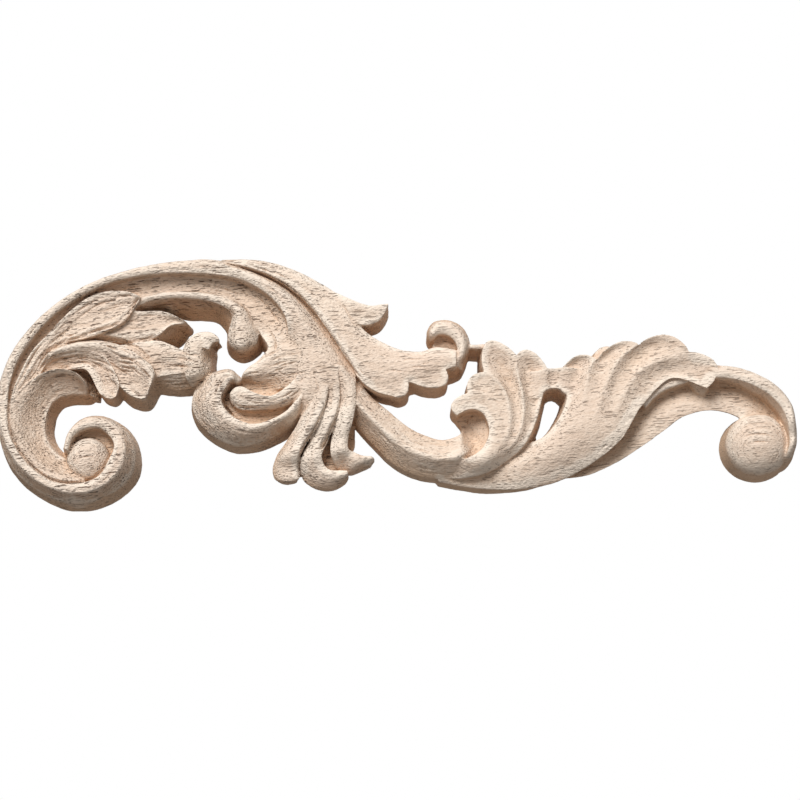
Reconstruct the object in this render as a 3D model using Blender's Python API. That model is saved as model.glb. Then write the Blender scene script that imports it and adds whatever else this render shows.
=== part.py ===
"""A carved wood applique: a pierced acanthus scroll cut from one board, flat behind.

The carving faces -Y and stands upright with +Z up. Its glued back lies in the plane Y = 0.
Every leaf, band and curl is a stroke: a lofted block whose cross lines say where its edges run and how high the
wood stands between them. The strokes are united into one solid and the back is sawn flat.
"""

import math

import bmesh
import bpy
import numpy as np
from mathutils import Matrix

MM = 0.001

# The pattern sheet: quarter millimetres, x to the right and y down, drawn as the carving is seen from a reader's
# distance and a little below, so that a high edge is drawn further up than a low one.
SHEET_UNIT = 0.25 * MM
SHEET_MIDDLE = (400, 400)
SIGHT_DISTANCE = 600 * MM
SIGHT_TILT = math.radians(11.5)
GLUE_POINT = (395, 372)

SPREAD = math.tan(math.radians(6))
UPRIGHT = 0.0
ROW_STEP = 3.8 * MM
ROW_TURN = math.radians(28)
COLUMN_STEP = 2.8 * MM
LOBE_COLUMNS = 5
LOBE_ROUNDNESS = 0.7
FLUTE_SHARPNESS = 1.5
FLUTE_DEPTH = 2.2 * MM
FLUTE_START = 0.42
FLUTE_DEEPEST = 0.86
FINE_STEPS = 200
TIP_ROWS = 3
LEAST_TIP_WIDTH = 0.16
BOSS_TURNS = 20
BOSS_RINGS = 5
SAW_ALLOWANCE = 1.0 * MM
SAW_STAGGER = 0.05 * MM
BOARD_LENGTH = 220 * MM
BOARD_WIDTH = 90 * MM
BOARD_STOCK = 8 * MM

WOOD_COLOUR = (0.66, 0.50, 0.36, 1.0)
WOOD_ROUGHNESS = 0.72

# Heights in millimetres along a cross line, from its first sheet point to its last.
RIM_START = (7.0, 8.6, 9.0, 8.6, 8.0)
RIM = (9.5, 13.0, 14.0, 13.5, 12.5)
RIM_LOW = (8.0, 10.6, 12.6, 12.8, 12.0)
RIM_EYE = (6.5, 10.0, 11.0, 10.5, 9.0)
BODY = (11.6, 13.4, 14.2, 13.6, 12.0)
BODY_LOW = (11.6, 13.2, 13.6, 12.8, 10.9)
BODY_FOOT = (10.8, 12.2, 12.6, 12.4, 11.6)
BODY_END = (6.0, 7.0, 7.0, 7.0, 6.0)
C_HOLLOW = (12.0, 11.2, 9.6, 8.0, 7.0)
C_HEAD = (12.6, 10.4, 9.0, 7.8, 6.8)
C_END = (10.2, 9.2, 8.0, 7.2, 6.6)
COVE = (9.4, 8.2, 7.8, 7.8, 8.4)
COVE_WIDE = (9.6, 8.8, 8.6, 9.0, 9.6)
COVE_FLAT = (10.6, 10.4, 10.3, 10.4, 10.4)
LIP = (9.4, 10.8, 10.8, 9.8)
KNOB = (8.0, 11.2, 12.2, 11.2, 8.0)
LEAF_TOP = (12.8, 13.4, 13.0, 12.2, 11.0)
LEAF_MID = (10.4, 11.4, 11.6, 11.0, 9.6)
LEAF_LONG = (11.6, 12.6, 12.2, 11.2, 10.0)
LEAF_LOW = (11.2, 11.6, 11.0, 9.8, 8.6)
LEAF_SEAT = (10.2, 11.4, 11.8, 11.4, 10.6)
LEAF_UNDER = (10.4, 10.0, 8.8, 6.6)
PILLAR = (10.8, 12.0, 12.4, 11.4, 8.8)
HOOK = (11.8, 12.0, 11.6, 11.0)
WING_START = (9.4, 10.2, 11.2, 12.0, 12.4)
WING = (12.4, 13.6, 14.0, 13.6, 12.6)
WING_ROOT = (10.0, 11.4, 11.8, 11.4, 10.4)
WING_TIP = (12.4, 12.8, 12.8, 12.4, 11.2)
CURL = (9.0, 12.0, 13.2, 12.2, 10.0)
TOE_ROOT = (11.6, 12.8, 13.2, 12.8, 11.6)
TOE = (11.2, 12.6, 13.1, 12.8, 11.8)
TOE_LOW = (10.0, 11.4, 12.0, 11.8, 11.0)
TOE_END = (7.6, 9.2, 10.2, 10.4, 10.0)
TOE_WEB = (6.0, 6.6, 6.6, 6.0)
ROLL = (7.4, 10.2, 12.0, 12.8, 12.2)
ROLL_ROOT = (7.4, 9.8, 11.0, 11.8, 11.6)
ROLL_INNER = (9.8, 11.6, 12.2, 12.2, 11.6)
DISH = (7.4, 7.4, 7.4)
SHOULDER = (10.4, 11.4, 11.4, 10.4, 8.0)
STEM = (7.4, 9.6, 11.8, 10.8, 9.6, 8.6)
STEM_COVE = (8.6, 7.6, 6.8, 6.6, 6.6, 6.6)
SHELL_START = (8.2, 9.2, 10.2, 11.2, 11.8)
SHELL_UNDER = (6.2, 6.9, 7.3, 7.4, 7.0)
SHELL_MID = (9.8, 11.8, 12.8, 13.2, 12.6)
SHELL_RIGHT_ROOT = (7.8, 9.2, 9.9, 9.4, 7.8)
SHELL_RIGHT_EARLY = (8.4, 10.4, 11.7, 11.9, 10.8)
SHELL_RIGHT_MID = (9.8, 11.8, 12.8, 12.7, 11.4)
SHELL_RIGHT_TOP = (11.6, 13.0, 13.4, 12.9, 11.6)
SHELL_TOP = (11.4, 13.2, 13.8, 13.6, 12.6)
SHELL_LIP = (11.6, 12.8, 13.2, 13.0, 12.0)
WEB = (10.2, 10.5, 10.2)
BRIDGE = (11.6, 10.9, 10.8)
BRIDGE_END = (10.6, 10.6, 10.6)
TAIL_START = (3.0, 3.0, 3.0, 3.0, 3.0)
TAIL_ROOT = (7.2, 6.8, 6.6, 6.8, 7.0)
TAIL = (7.4, 6.6, 6.8, 7.4, 7.6)
TAIL_RIDGE = (9.8, 10.6, 10.2)
TAIL_RIM = (9.4, 12.0, 12.5, 12.3, 12.0)
TAIL_RIM_END = (6.0, 7.4, 7.0)

# A stroke is its name, its cross lines, and the sheet length over which its start and its end are rounded.
# Its walls spread towards the back, or stand straight where it ends with UPRIGHT.
# A cross line is two or more sheet points x, y and then its heights.
STROKES = [
    ("scroll", [
        (352, 424, 300, 430, BODY_END), (357, 388, 300, 401, BODY_FOOT), (348, 360, 290, 374, BODY_LOW),
        (334, 338, 289, 350, BODY_LOW), (314, 311, 286, 322, BODY), (284, 285, 271, 298, BODY),
        (250, 269.5, 245, 282, RIM), (215, 260, 214, 274, RIM), (180, 261, 182, 272.5, RIM),
        (140, 268, 144, 276, RIM), (98, 281, 103, 287, RIM), (60, 302, 67, 307, RIM),
        (28, 331, 37, 337, RIM), (8, 360, 18, 366, RIM), (-2, 392, 9, 394, RIM),
        (-3, 424, 9, 421, RIM_LOW), (5, 455, 18, 446, RIM_LOW), (20, 477, 33, 465, RIM_LOW),
        (42, 493, 50, 477.5, RIM_LOW), (68, 503, 70, 482, RIM_LOW), (94, 501, 88, 481, RIM_LOW),
        (118, 490, 101, 473, RIM_LOW), (134, 471, 109, 459, RIM_LOW), (136, 449, 114, 446, RIM_LOW),
        (123, 426, 108, 434, RIM_EYE), (101, 416, 97, 427, RIM_EYE), (82, 419, 83, 429, RIM_EYE),
        (69, 432, 73, 437, RIM_EYE), (63.5, 450, 68, 451, RIM_EYE),
    ], (0, 0)),
    ("c_hollow", [
        (76, 370, 88, 394, C_HEAD), (60, 369, 74, 394, C_HEAD), (40, 374, 60, 397, C_HEAD),
        (22, 386, 51, 405, C_HOLLOW), (6, 405, 46, 417, C_HOLLOW), (5, 424, 45, 431, C_HOLLOW),
        (21, 459, 56, 453, C_HOLLOW), (40, 476, 66, 459, C_HOLLOW), (66, 484, 79, 466, C_HOLLOW),
        (85, 482, 88, 468, C_END),
    ], (9, 0)),
    ("cove", [
        (8, 405, 24, 402, COVE), (14, 374, 34, 384, COVE), (34, 339, 58, 352, COVE),
        (64, 310, 86, 326, COVE), (100, 288, 112, 308, COVE), (142, 275, 146, 298, COVE),
        (198, 271, 198, 293, COVE), (247, 281, 238, 306, COVE_WIDE), (266, 292, 252, 320, COVE_WIDE),
        (281, 309, 262, 336, COVE_WIDE), (293, 330, 268, 347, COVE_FLAT), (300, 352, 264, 358, COVE_FLAT),
    ], (0, 0)),
    ("lip", [
        (126, 297, 136, 306, LIP), (150, 294, 152, 301, LIP), (180, 290.5, 180, 298, LIP),
        (206, 292.5, 204, 300, LIP), (230, 299, 222, 305.5, LIP), (248, 310, 232, 316, KNOB),
        (258, 326, 229, 331, KNOB), (258, 341, 228.5, 341, KNOB), (252, 352, 233, 352, KNOB),
    ], (0, 10)),
    ("leaf_top", [
        (16, 380, 24, 382, LEAF_TOP), (28, 356, 42, 355, LEAF_TOP), (50, 331, 62, 337, LEAF_TOP),
        (74, 307.5, 84, 332, LEAF_TOP), (97, 293.5, 104, 329, LEAF_TOP), (120, 290.5, 122, 323, LEAF_TOP),
        (141, 298, 133, 311, LEAF_TOP),
    ], (0, 6)),
    ("leaf_mid", [
        (32, 366, 42, 362, LEAF_MID), (60, 334, 60, 346, LEAF_MID), (90, 326, 90, 339.5, LEAF_MID),
        (115, 315, 112, 341, LEAF_MID), (136, 310.5, 130, 345, LEAF_MID), (156, 310.5, 147, 342, LEAF_MID),
        (172, 314, 162, 332, LEAF_MID), (186, 323, 177, 324, LEAF_MID),
    ], (0, 4)),
    ("leaf_seat", [
        (116, 343, 126, 378, LEAF_SEAT), (148, 341, 148, 378, LEAF_SEAT), (167, 343, 167, 377, LEAF_SEAT),
        (184, 350, 186, 376, LEAF_SEAT), (203, 350, 204, 376, LEAF_SEAT),
    ], (0, 0)),
    ("leaf_under", [
        (138, 370, 146, 380, LEAF_UNDER), (158, 373, 160, 388, LEAF_UNDER), (177, 373, 178, 391, LEAF_UNDER),
        (195, 371, 196, 389, LEAF_UNDER), (208, 368, 207, 382, LEAF_UNDER),
    ], (0, 0)),
    ("pillar", [
        (192, 386, 210, 381, PILLAR), (184, 368, 211, 368, PILLAR), (182.5, 351, 211, 352, PILLAR),
        (188, 338, 209.5, 344, PILLAR), (202, 331.5, 210.5, 339.5, HOOK), (212.5, 334, 214, 338, HOOK),
    ], (0, 2)),
    ("leaf_long", [
        (22, 380, 28, 386, LEAF_LONG), (48, 353, 52, 368, LEAF_LONG), (76, 343, 78, 368, LEAF_LONG),
        (100, 341, 98, 370, LEAF_LONG), (122, 347.5, 114, 379, LEAF_LONG), (141, 358, 126, 390, LEAF_LONG),
        (153, 374, 139, 399, LEAF_LONG),
    ], (0, 12)),
    ("leaf_low", [
        (46, 362, 48, 371, LEAF_LOW), (74, 358, 75, 370, LEAF_LOW), (96, 360, 88, 377, LEAF_LOW),
        (112, 371, 96, 388, LEAF_LOW), (120, 386, 107, 399, LEAF_LOW),
    ], (0, 9)),
    ("wing", [
        (222, 260, 222, 264, WING_START), (250, 259.5, 250, 268, WING), (275, 263.5, 272, 277, WING),
        (300, 272.5, 296, 292, WING), (325, 286, 317, 313, WING), (346, 301, 334, 338, WING),
        (364, 330, 350, 363, WING), (382, 342, 367, 381, WING), (402, 350, 392, 382, WING),
        (420, 351.5, 414, 378, WING), (438, 347, 440, 371, WING), (458, 350, 458, 368, WING),
    ], (0, 0)),
    ("wing_spur", [
        (326, 288, 336, 326, WING_ROOT), (352, 299.5, 356, 326, WING_TIP), (370, 306.5, 370, 324.5, WING_TIP),
        (389, 304.5, 384, 318, WING_TIP),
    ], (0, 3)),
    ("wing_low", [
        (345, 338, 354, 372, WING_ROOT), (368, 354, 367, 384, WING_TIP), (392, 364, 385, 393.5, WING_TIP),
        (412, 382, 402, 398, WING_TIP),
    ], (0, 8)),
    ("wing_end", [
        (388, 352, 386, 376, WING_ROOT), (412, 356, 412, 383, WING_TIP), (434, 361, 432, 387.5, WING_TIP),
        (452, 371, 446, 386, WING_TIP),
    ], (0, 7)),
    ("curl", [
        (462, 372, 447, 360, CURL), (471, 357, 457, 354, CURL), (470, 339, 455, 344, CURL),
        (461, 326, 449, 337, CURL), (445, 319.5, 443, 334.5, CURL), (431, 324, 438, 334.5, CURL),
        (426.5, 335, 437, 336, CURL), (431, 346, 438, 341, CURL),
    ], (0, 3)),
    ("toe_web", [
        (312, 380, 350, 380, TOE_WEB), (312, 410, 346, 410, TOE_WEB), (302, 432, 338, 434, TOE_WEB),
        (294, 452, 336, 452, TOE_WEB), (292, 470, 334, 466, TOE_WEB), (294, 476, 326, 474, TOE_WEB),
    ], (0, 0), UPRIGHT),
    ("toe_left", [
        (302, 366, 330, 370, TOE_ROOT), (307, 396, 329, 398, TOE), (299, 420, 321, 423, TOE),
        (286, 442, 307, 443, TOE_LOW), (275, 458, 301, 456, TOE_LOW), (272.5, 470, 300, 468, TOE_END),
        (276, 484, 300.5, 482, TOE_END),
    ], (0, 6), UPRIGHT),
    ("toe_middle", [
        (322, 364, 340, 366, TOE_ROOT), (328, 398, 341, 402, TOE), (320.5, 421, 336, 421, TOE),
        (307, 443, 327, 443, TOE_LOW), (300, 461, 322, 456, TOE_LOW), (303, 481, 325, 466, TOE_END),
        (318, 491, 332.5, 470, TOE_END), (335, 491, 341, 470, TOE_END), (349, 481, 348.5, 470.5, TOE_END),
    ], (0, 2), UPRIGHT),
    ("toe_right", [
        (336, 364, 352, 367, TOE_ROOT), (340, 400, 356.5, 400, TOE), (335, 421, 352, 424, TOE),
        (330, 441, 348, 440, TOE_LOW), (331, 456, 349, 449, TOE_LOW), (337, 469, 353.5, 451.5, TOE_END),
        (351, 474, 361, 455, TOE_END), (363, 470, 369, 456, TOE_END), (374, 463, 377, 456, TOE_END),
    ], (0, 3), UPRIGHT),
    ("roll", [
        (312, 400, 302, 392, ROLL_ROOT), (300, 420, 287, 410, ROLL), (280, 434, 270, 419, ROLL),
        (256, 444, 252, 422, ROLL), (233, 445, 237, 418, ROLL), (212, 435, 226, 409, ROLL),
        (197, 420, 221, 400, ROLL), (192, 403, 221, 393, ROLL), (198, 385, 226, 387, ROLL),
        (213, 372.5, 230, 380, ROLL), (231, 369.5, 234, 380, ROLL), (242, 380, 236, 384, LIP),
    ], (0, 0)),
    ("roll_inner", [
        (312, 388, 306, 366, ROLL_INNER), (290, 406, 287, 386, ROLL_INNER), (268, 411, 268, 396, ROLL_INNER),
        (250, 412, 250, 391, ROLL_INNER), (237, 409, 241, 386, ROLL_INNER), (228, 399, 231, 389, ROLL_INNER),
    ], (0, 6)),
    ("roll_dish", [
        (306, 412, 300, 372, DISH), (270, 424, 262, 376, DISH), (240, 420, 246, 384, DISH),
        (224, 402, 232, 384, DISH),
    ], (0, 0)),
    ("shoulder", [
        (308, 340, 306, 378, SHOULDER), (286, 344, 288, 379, SHOULDER), (268, 350, 268, 380, SHOULDER),
        (253, 362, 253, 381, SHOULDER), (242, 374, 243, 381, SHOULDER),
    ], (0, 5)),
    ("stem", [
        (344, 410, 356, 380, STEM), (362, 434, 374, 400, STEM), (384, 455, 394, 415, STEM),
        (410, 469.5, 416, 431, STEM), (437, 478, 440, 440, STEM), (464, 476, 459, 434, STEM),
        (486, 454, 461, 427, STEM_COVE), (491, 430, 455, 417, STEM_COVE), (486, 412, 460, 408, STEM_COVE),
    ], (0, 0)),
    ("web", [
        (456, 344, 456, 348.5, WEB), (470, 344.5, 470, 348.5, WEB), (486, 344, 486, 349, WEB),
    ], (0, 0)),
    ("bridge", [
        (526, 372, 528, 396, BRIDGE_END), (544, 368.5, 543, 391, BRIDGE), (560, 367, 558, 389, BRIDGE),
        (580, 368, 576, 394, BRIDGE_END),
    ], (0, 0)),
    ("tail", [
        (548, 470, 550, 478, TAIL_START), (580, 461, 584, 474, TAIL_ROOT), (604, 438, 610, 463, TAIL_ROOT),
        (624, 408, 638, 446, TAIL_ROOT), (643, 385, 662, 430, TAIL), (670, 371, 684, 416.5, TAIL),
        (702, 366, 709, 410.5, TAIL), (730, 371, 728, 413, TAIL), (757, 379, 742, 420, TAIL),
        (781, 398, 750, 436, TAIL), (791, 425, 757, 452, TAIL),
    ], (0, 0), UPRIGHT),
    ("tail_ridge", [
        (642, 404, 646, 407, TAIL_RIDGE), (651, 390, 656, 396, TAIL_RIDGE), (662, 382, 667, 389, TAIL_RIDGE),
        (675, 377, 679, 384.5, TAIL_RIDGE), (690, 376, 693, 380.5, TAIL_RIDGE),
    ], (0, 0)),
    ("tail_rim", [
        (694, 362, 694, 376, RIM_START), (714, 365, 715, 377, TAIL_RIM), (733, 366.5, 733, 378.5, TAIL_RIM),
        (757, 374, 753, 385, RIM), (777, 386, 770, 395, RIM), (791, 403, 782, 408, RIM),
        (796, 424, 788.5, 425, RIM), (796, 436, 789.5, 436, TAIL_RIM), (793, 446, 789, 444, TAIL_RIM_END),
        (788, 455, 785, 452, TAIL_RIM_END),
    ], (0, 3)),
]

# A shell is a stroke that ends in a lobed lip: its name, its cross lines, the notches of the lip, and the crests
# between them, and how its walls lean.
SHELLS = [
    ("shell_left", [
        (436, 477, 436, 462, SHELL_UNDER), (464, 477, 464, 459, SHELL_START), (488, 472, 479, 451, SHELL_MID),
        (509, 461, 487, 440, SHELL_MID), (525, 445, 489, 429, SHELL_TOP), (535, 425, 485, 416, SHELL_TOP),
        (541, 402, 505, 392, 474, 409, SHELL_TOP), (546, 382, 508, 368, 478, 386, 464, 411, SHELL_TOP),
    ],
        [(547, 368), (517, 355.5), (484, 372), (468, 393), (457, 415)],
        [(531, 350.5), (488, 341), (470, 378), (452, 403)], SPREAD),
    ("shell_right", [
        (438, 482, 440, 470, SHELL_UNDER), (480, 489, 486, 464, SHELL_UNDER),
        (522, 489, 514, 448, SHELL_RIGHT_ROOT), (560, 481, 543, 437, SHELL_RIGHT_EARLY),
        (592, 463.5, 558, 420, SHELL_RIGHT_MID), (620, 441, 566, 402, SHELL_RIGHT_TOP),
        (643, 405, 606, 388, 566, 390, SHELL_RIGHT_TOP), (670, 380, 618, 366, 564, 379, SHELL_RIGHT_TOP),
    ],
        [(706, 387), (690, 352), (640, 345), (596, 360), (562, 369)],
        [(717, 365), (667, 335), (617, 341), (577, 355)], SPREAD),
]

# A boss is its name, the sheet point of its middle, its half width and half height on the sheet, and the heights
# in millimetres of its crown and of the shoulder where its side starts down.
BOSSES = [
    ("volute_eye", 87, 458.5, 21.5, 22, 13.6, 7.0),
    ("volute_floor", 92, 450, 24, 24, 7.2, 6.6),
    ("curl_floor", 446, 347, 13, 11, 9.4, 8.8),
    ("tail_eye", 760, 442, 32, 29.5, 14.6, 6.6),
]


def on_board(x, y, height):
    """The board's X and Z, in metres, of a sheet point on wood that stands this high."""
    up = (SHEET_MIDDLE[1] - y) * SHEET_UNIT
    upright, lean = math.cos(SIGHT_TILT), math.sin(SIGHT_TILT)
    reach = up * (SIGHT_DISTANCE - height * upright) - height * lean * SIGHT_DISTANCE
    z = reach / (upright * SIGHT_DISTANCE - up * lean)
    depth = SIGHT_DISTANCE - height * upright + z * lean
    return (x - SHEET_MIDDLE[0]) * SHEET_UNIT * depth / SIGHT_DISTANCE, z


def smooth_through(values, places, wanted):
    """A cubic curve through the values, which stand at the given places, read at the wanted places."""
    slopes = np.gradient(values, places, axis=0)
    spans = np.clip(np.searchsorted(places, wanted, side="right") - 1, 0, len(places) - 2)
    width = (places[spans + 1] - places[spans])[:, None]
    t = (wanted - places[spans])[:, None] / width
    return (
        (2 * t**3 - 3 * t**2 + 1) * values[spans]
        + (t**3 - 2 * t**2 + t) * width * slopes[spans]
        + (3 * t**2 - 2 * t**3) * values[spans + 1]
        + (t**3 - t**2) * width * slopes[spans + 1]
    )


def cross_line(points, profile, columns):
    """One cross line as rows of x, z and height, read at these shares of its way across."""
    heights = smooth_through(np.array(profile)[:, None] * MM, np.linspace(0, 1, len(profile)), columns)
    stops = np.linspace(0, 1, len(points))
    stop_heights = np.interp(stops, columns, heights[:, 0])
    placed = np.array([on_board(x, y, height) for (x, y), height in zip(points, stop_heights)])
    return np.hstack([smooth_through(placed, stops, columns), heights])


def lobed_points(notches, crests):
    """A lip that swells from notch to notch through the crests, as sheet points, one for each column."""
    points = []
    for start, crest, end in zip(notches, crests, notches[1:]):
        for t in np.arange(LOBE_COLUMNS) / LOBE_COLUMNS:
            swell = math.sin(math.pi * t) ** LOBE_ROUNDNESS
            points.append([
                a + (b - a) * t + (c - (a + b) / 2) * swell for a, c, b in zip(start, crest, end)
            ])
    points.append(notches[-1])
    return points


def row_places(middles, places, rounding):
    """Distances along a stroke at which it gets a row: closer together where it turns or an end is rounded."""
    start, end = rounding
    length = places[-1]
    fine = np.linspace(start, length - end, FINE_STEPS)
    steps = np.diff(smooth_through(middles, places, fine), axis=0)
    heading = np.unwrap(np.arctan2(steps[:, 1], steps[:, 0]))
    turned = np.concatenate([[0, 0], np.cumsum(np.abs(np.diff(heading)))])
    wear = (fine - start) / ROW_STEP + turned / ROW_TURN
    rows = np.interp(np.linspace(0, wear[-1], max(2, round(wear[-1]) + 1)), wear, fine)
    tip = 1 - np.cos(np.arange(TIP_ROWS) / TIP_ROWS * math.pi / 2)
    return np.concatenate([start * tip if start else [], rows, length - end * tip[::-1] if end else []])


def tip_width(places, length, rounding):
    """How wide the stroke is at each row, as a share of its full width: a half round at a rounded end."""
    share = np.ones(len(places))
    for distance, radius in zip((places, length - places), rounding):
        if radius:
            short = np.clip(1 - distance / radius, 0, 1)
            share = np.minimum(share, np.sqrt(1 - short**2))
    return np.maximum(share, LEAST_TIP_WIDTH)


def loft(lines, rounding):
    """The top of a stroke from its cross lines: rows of points, with the share of the way along at each row."""
    middles = lines[:, :, :2].mean(axis=1)
    places = np.concatenate([[0], np.cumsum(np.linalg.norm(np.diff(middles, axis=0), axis=1))])
    wanted = row_places(middles, places, rounding)
    rows = smooth_through(lines.reshape(len(lines), -1), places, wanted).reshape(len(wanted), -1, 3)
    share = tip_width(wanted, places[-1], rounding)[:, None, None]
    flat = rows[:, :, :2]
    centre = flat.mean(axis=1, keepdims=True)
    rows[:, :, :2] = centre + (flat - centre) * share
    shoulder = np.minimum(rows[:, :, 2], rows[:, [0, -1], 2].mean(axis=1)[:, None])
    rows[:, :, 2] = shoulder + (rows[:, :, 2] - shoulder) * share[:, :, 0]
    return rows, wanted / places[-1]


def split_line(line):
    """A cross line's sheet points and its heights."""
    *numbers, profile = line
    return list(zip(numbers[::2], numbers[1::2])), profile


def stroke_top(lines, rounding):
    """The carved top of a plain stroke, as rows of x, z and height."""
    widths = [math.dist(points[0], points[-1]) for points, _ in map(split_line, lines)]
    count = max(max(len(line[-1]) for line in lines), round(max(widths) * SHEET_UNIT / COLUMN_STEP) + 1)
    columns = np.linspace(0, 1, count)
    crossed = np.array([cross_line(*split_line(line), columns) for line in lines])
    rows, _ = loft(crossed, [length * SHEET_UNIT for length in rounding])
    return rows


def shell_top(lines, notches, crests):
    """The carved top of a shell: smooth at its root, then fluted up to the lip, with a ridge at each notch."""
    columns = np.linspace(0, 1, len(crests) * LOBE_COLUMNS + 1)
    crossed = [cross_line(*split_line(line), columns) for line in lines]
    crossed.append(cross_line(lobed_points(notches, crests), SHELL_LIP, columns))
    rows, along = loft(np.array(crossed), (0, 0))
    hollow = np.abs(np.sin(math.pi * len(crests) * columns)) ** FLUTE_SHARPNESS
    swell = np.interp(along, (FLUTE_START, FLUTE_DEEPEST, 1), (0, 1, 0.45))
    rows[:, :, 2] -= FLUTE_DEPTH * swell[:, None] * hollow
    return rows


def outward(loop):
    """Unit vectors that point out of a closed loop of x, z points."""
    ahead, behind = np.roll(loop, -1, axis=0) - loop, loop - np.roll(loop, 1, axis=0)
    along = ahead / np.linalg.norm(ahead, axis=1)[:, None] + behind / np.linalg.norm(behind, axis=1)[:, None]
    normal = np.stack([along[:, 1], -along[:, 0]], axis=1)
    normal /= np.linalg.norm(normal, axis=1)[:, None]
    x, z = loop.T
    return normal if (x * np.roll(z, -1) - np.roll(x, -1) * z).sum() > 0 else -normal


def new_object(name, shape, collection):
    mesh = bpy.data.meshes.new(name)
    bmesh.ops.recalc_face_normals(shape, faces=shape.faces)
    shape.to_mesh(mesh)
    shape.free()
    made = bpy.data.objects.new(name, mesh)
    collection.objects.link(made)
    return made


def carve(name, top, lean, depth, collection):
    """A closed block under a carved top: its walls lean out or in, and its bottom lies behind the board."""
    rows, columns = top.shape[:2]
    shape = bmesh.new()
    grid = [[shape.verts.new((x, -height, z)) for x, z, height in row] for row in top]
    for row, after in zip(grid, grid[1:]):
        for c in range(columns - 1):
            shape.faces.new((row[c], row[c + 1], after[c + 1], after[c]))
    edge = (
        [(r, 0) for r in range(rows)]
        + [(rows - 1, c) for c in range(1, columns)]
        + [(r, columns - 1) for r in range(rows - 2, -1, -1)]
        + [(0, c) for c in range(columns - 2, 0, -1)]
    )
    rim = np.array([top[place] for place in edge])
    foot = rim[:, :2] + outward(rim[:, :2]) * rim[:, 2:] * lean
    below = {place: shape.verts.new((x, depth, z)) for place, (x, z) in zip(edge, foot)}
    for here, there in zip(edge, edge[1:] + edge[:1]):
        shape.faces.new((grid[here[0]][here[1]], grid[there[0]][there[1]], below[there], below[here]))
    last_row, last_column = rows - 1, columns - 1
    for r in range(last_row):
        sides = [below[r, 0], below[r + 1, 0]]
        if r + 1 == last_row:
            sides += [below[last_row, c] for c in range(1, last_column)]
        sides += [below[r + 1, last_column], below[r, last_column]]
        if r == 0:
            sides += [below[0, c] for c in range(last_column - 1, 0, -1)]
        shape.faces.new(sides)
    return new_object(name, shape, collection)


def carve_boss(name, x, y, half_width, half_height, crown, shoulder, depth, collection):
    """A round knob: half an oval turned about its middle, on a side that spreads down to the back."""
    crown, shoulder = crown * MM, shoulder * MM
    middle_x, middle_z = on_board(x, y, (crown + shoulder) / 2)
    across = half_width * SHEET_UNIT
    tall = half_height * SHEET_UNIT / math.cos(SIGHT_TILT)
    profile = [
        (math.sin(turn), -shoulder - (crown - shoulder) * math.cos(turn))
        for turn in np.linspace(0, math.pi / 2, BOSS_RINGS + 1)
    ]
    profile += [(1 + shoulder * SPREAD / across, depth), (0, depth)]
    shape = bmesh.new()
    line = [shape.verts.new((radius, y, 0)) for radius, y in profile]
    edges = [shape.edges.new(pair) for pair in zip(line, line[1:])]
    bmesh.ops.spin(
        shape, geom=line + edges, cent=(0, 0, 0), axis=(0, 1, 0), angle=2 * math.pi, steps=BOSS_TURNS,
        use_merge=True, use_duplicate=False,
    )
    bmesh.ops.remove_doubles(shape, verts=shape.verts, dist=0.001 * MM)
    bmesh.ops.scale(shape, vec=(across, 1, tall), verts=shape.verts)
    bmesh.ops.translate(shape, vec=(middle_x, 0, middle_z), verts=shape.verts)
    return new_object(name, shape, collection)


def saw_block(collection):
    """What the saw takes off behind the glue face."""
    shape = bmesh.new()
    bmesh.ops.create_cube(shape, size=1)
    bmesh.ops.scale(shape, vec=(BOARD_LENGTH, BOARD_STOCK, BOARD_WIDTH), verts=shape.verts)
    bmesh.ops.translate(shape, vec=(0, BOARD_STOCK / 2, 0), verts=shape.verts)
    return new_object("saw_block", shape, collection)


def wood_material():
    wood = bpy.data.materials.new("pale_wood")
    wood.use_nodes = True
    shader = wood.node_tree.nodes["Principled BSDF"]
    shader.inputs["Base Color"].default_value = WOOD_COLOUR
    shader.inputs["Roughness"].default_value = WOOD_ROUGHNESS
    shader.inputs["Metallic"].default_value = 0.0
    return wood


def carve_all(collection):
    """Every stroke, shell and boss, each reaching a different depth behind the board."""
    depths = SAW_ALLOWANCE + SAW_STAGGER * np.arange(len(STROKES) + len(SHELLS) + len(BOSSES))
    depths = iter(depths)
    for name, lines, rounding, *lean in STROKES:
        carve(name, stroke_top(lines, rounding), *(lean or [SPREAD]), next(depths), collection)
    for name, lines, notches, crests, lean in SHELLS:
        carve(name, shell_top(lines, notches, crests), lean, next(depths), collection)
    for boss in BOSSES:
        carve_boss(*boss, next(depths), collection)


def main():
    for old in list(bpy.data.objects):
        bpy.data.objects.remove(old)
    board = bpy.context.scene.collection
    helpers = bpy.data.collections.new("strokes")
    board.children.link(helpers)
    carve_all(helpers)
    saw = saw_block(board)
    first = helpers.objects[0]
    applique = bpy.data.objects.new("carved_applique", first.data.copy())
    board.objects.link(applique)
    bpy.data.objects.remove(first)
    unite = applique.modifiers.new("unite strokes", "BOOLEAN")
    unite.operation = "UNION"
    unite.operand_type = "COLLECTION"
    unite.collection = helpers
    cut = applique.modifiers.new("saw the back", "BOOLEAN")
    cut.operation = "DIFFERENCE"
    cut.object = saw
    applique.data.materials.append(wood_material())
    glue_x, glue_z = on_board(*GLUE_POINT, 0)
    for helper in [saw, *helpers.objects]:
        helper.hide_render = True
        helper.display_type = "WIRE"
    for thing in [applique, saw, *helpers.objects]:
        thing.data.transform(Matrix.Translation((-glue_x, 0, -glue_z)))


main()
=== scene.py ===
"""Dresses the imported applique: the same carving with soft edges, tool marks and open-pored pale wood."""

import math
import random

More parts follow.
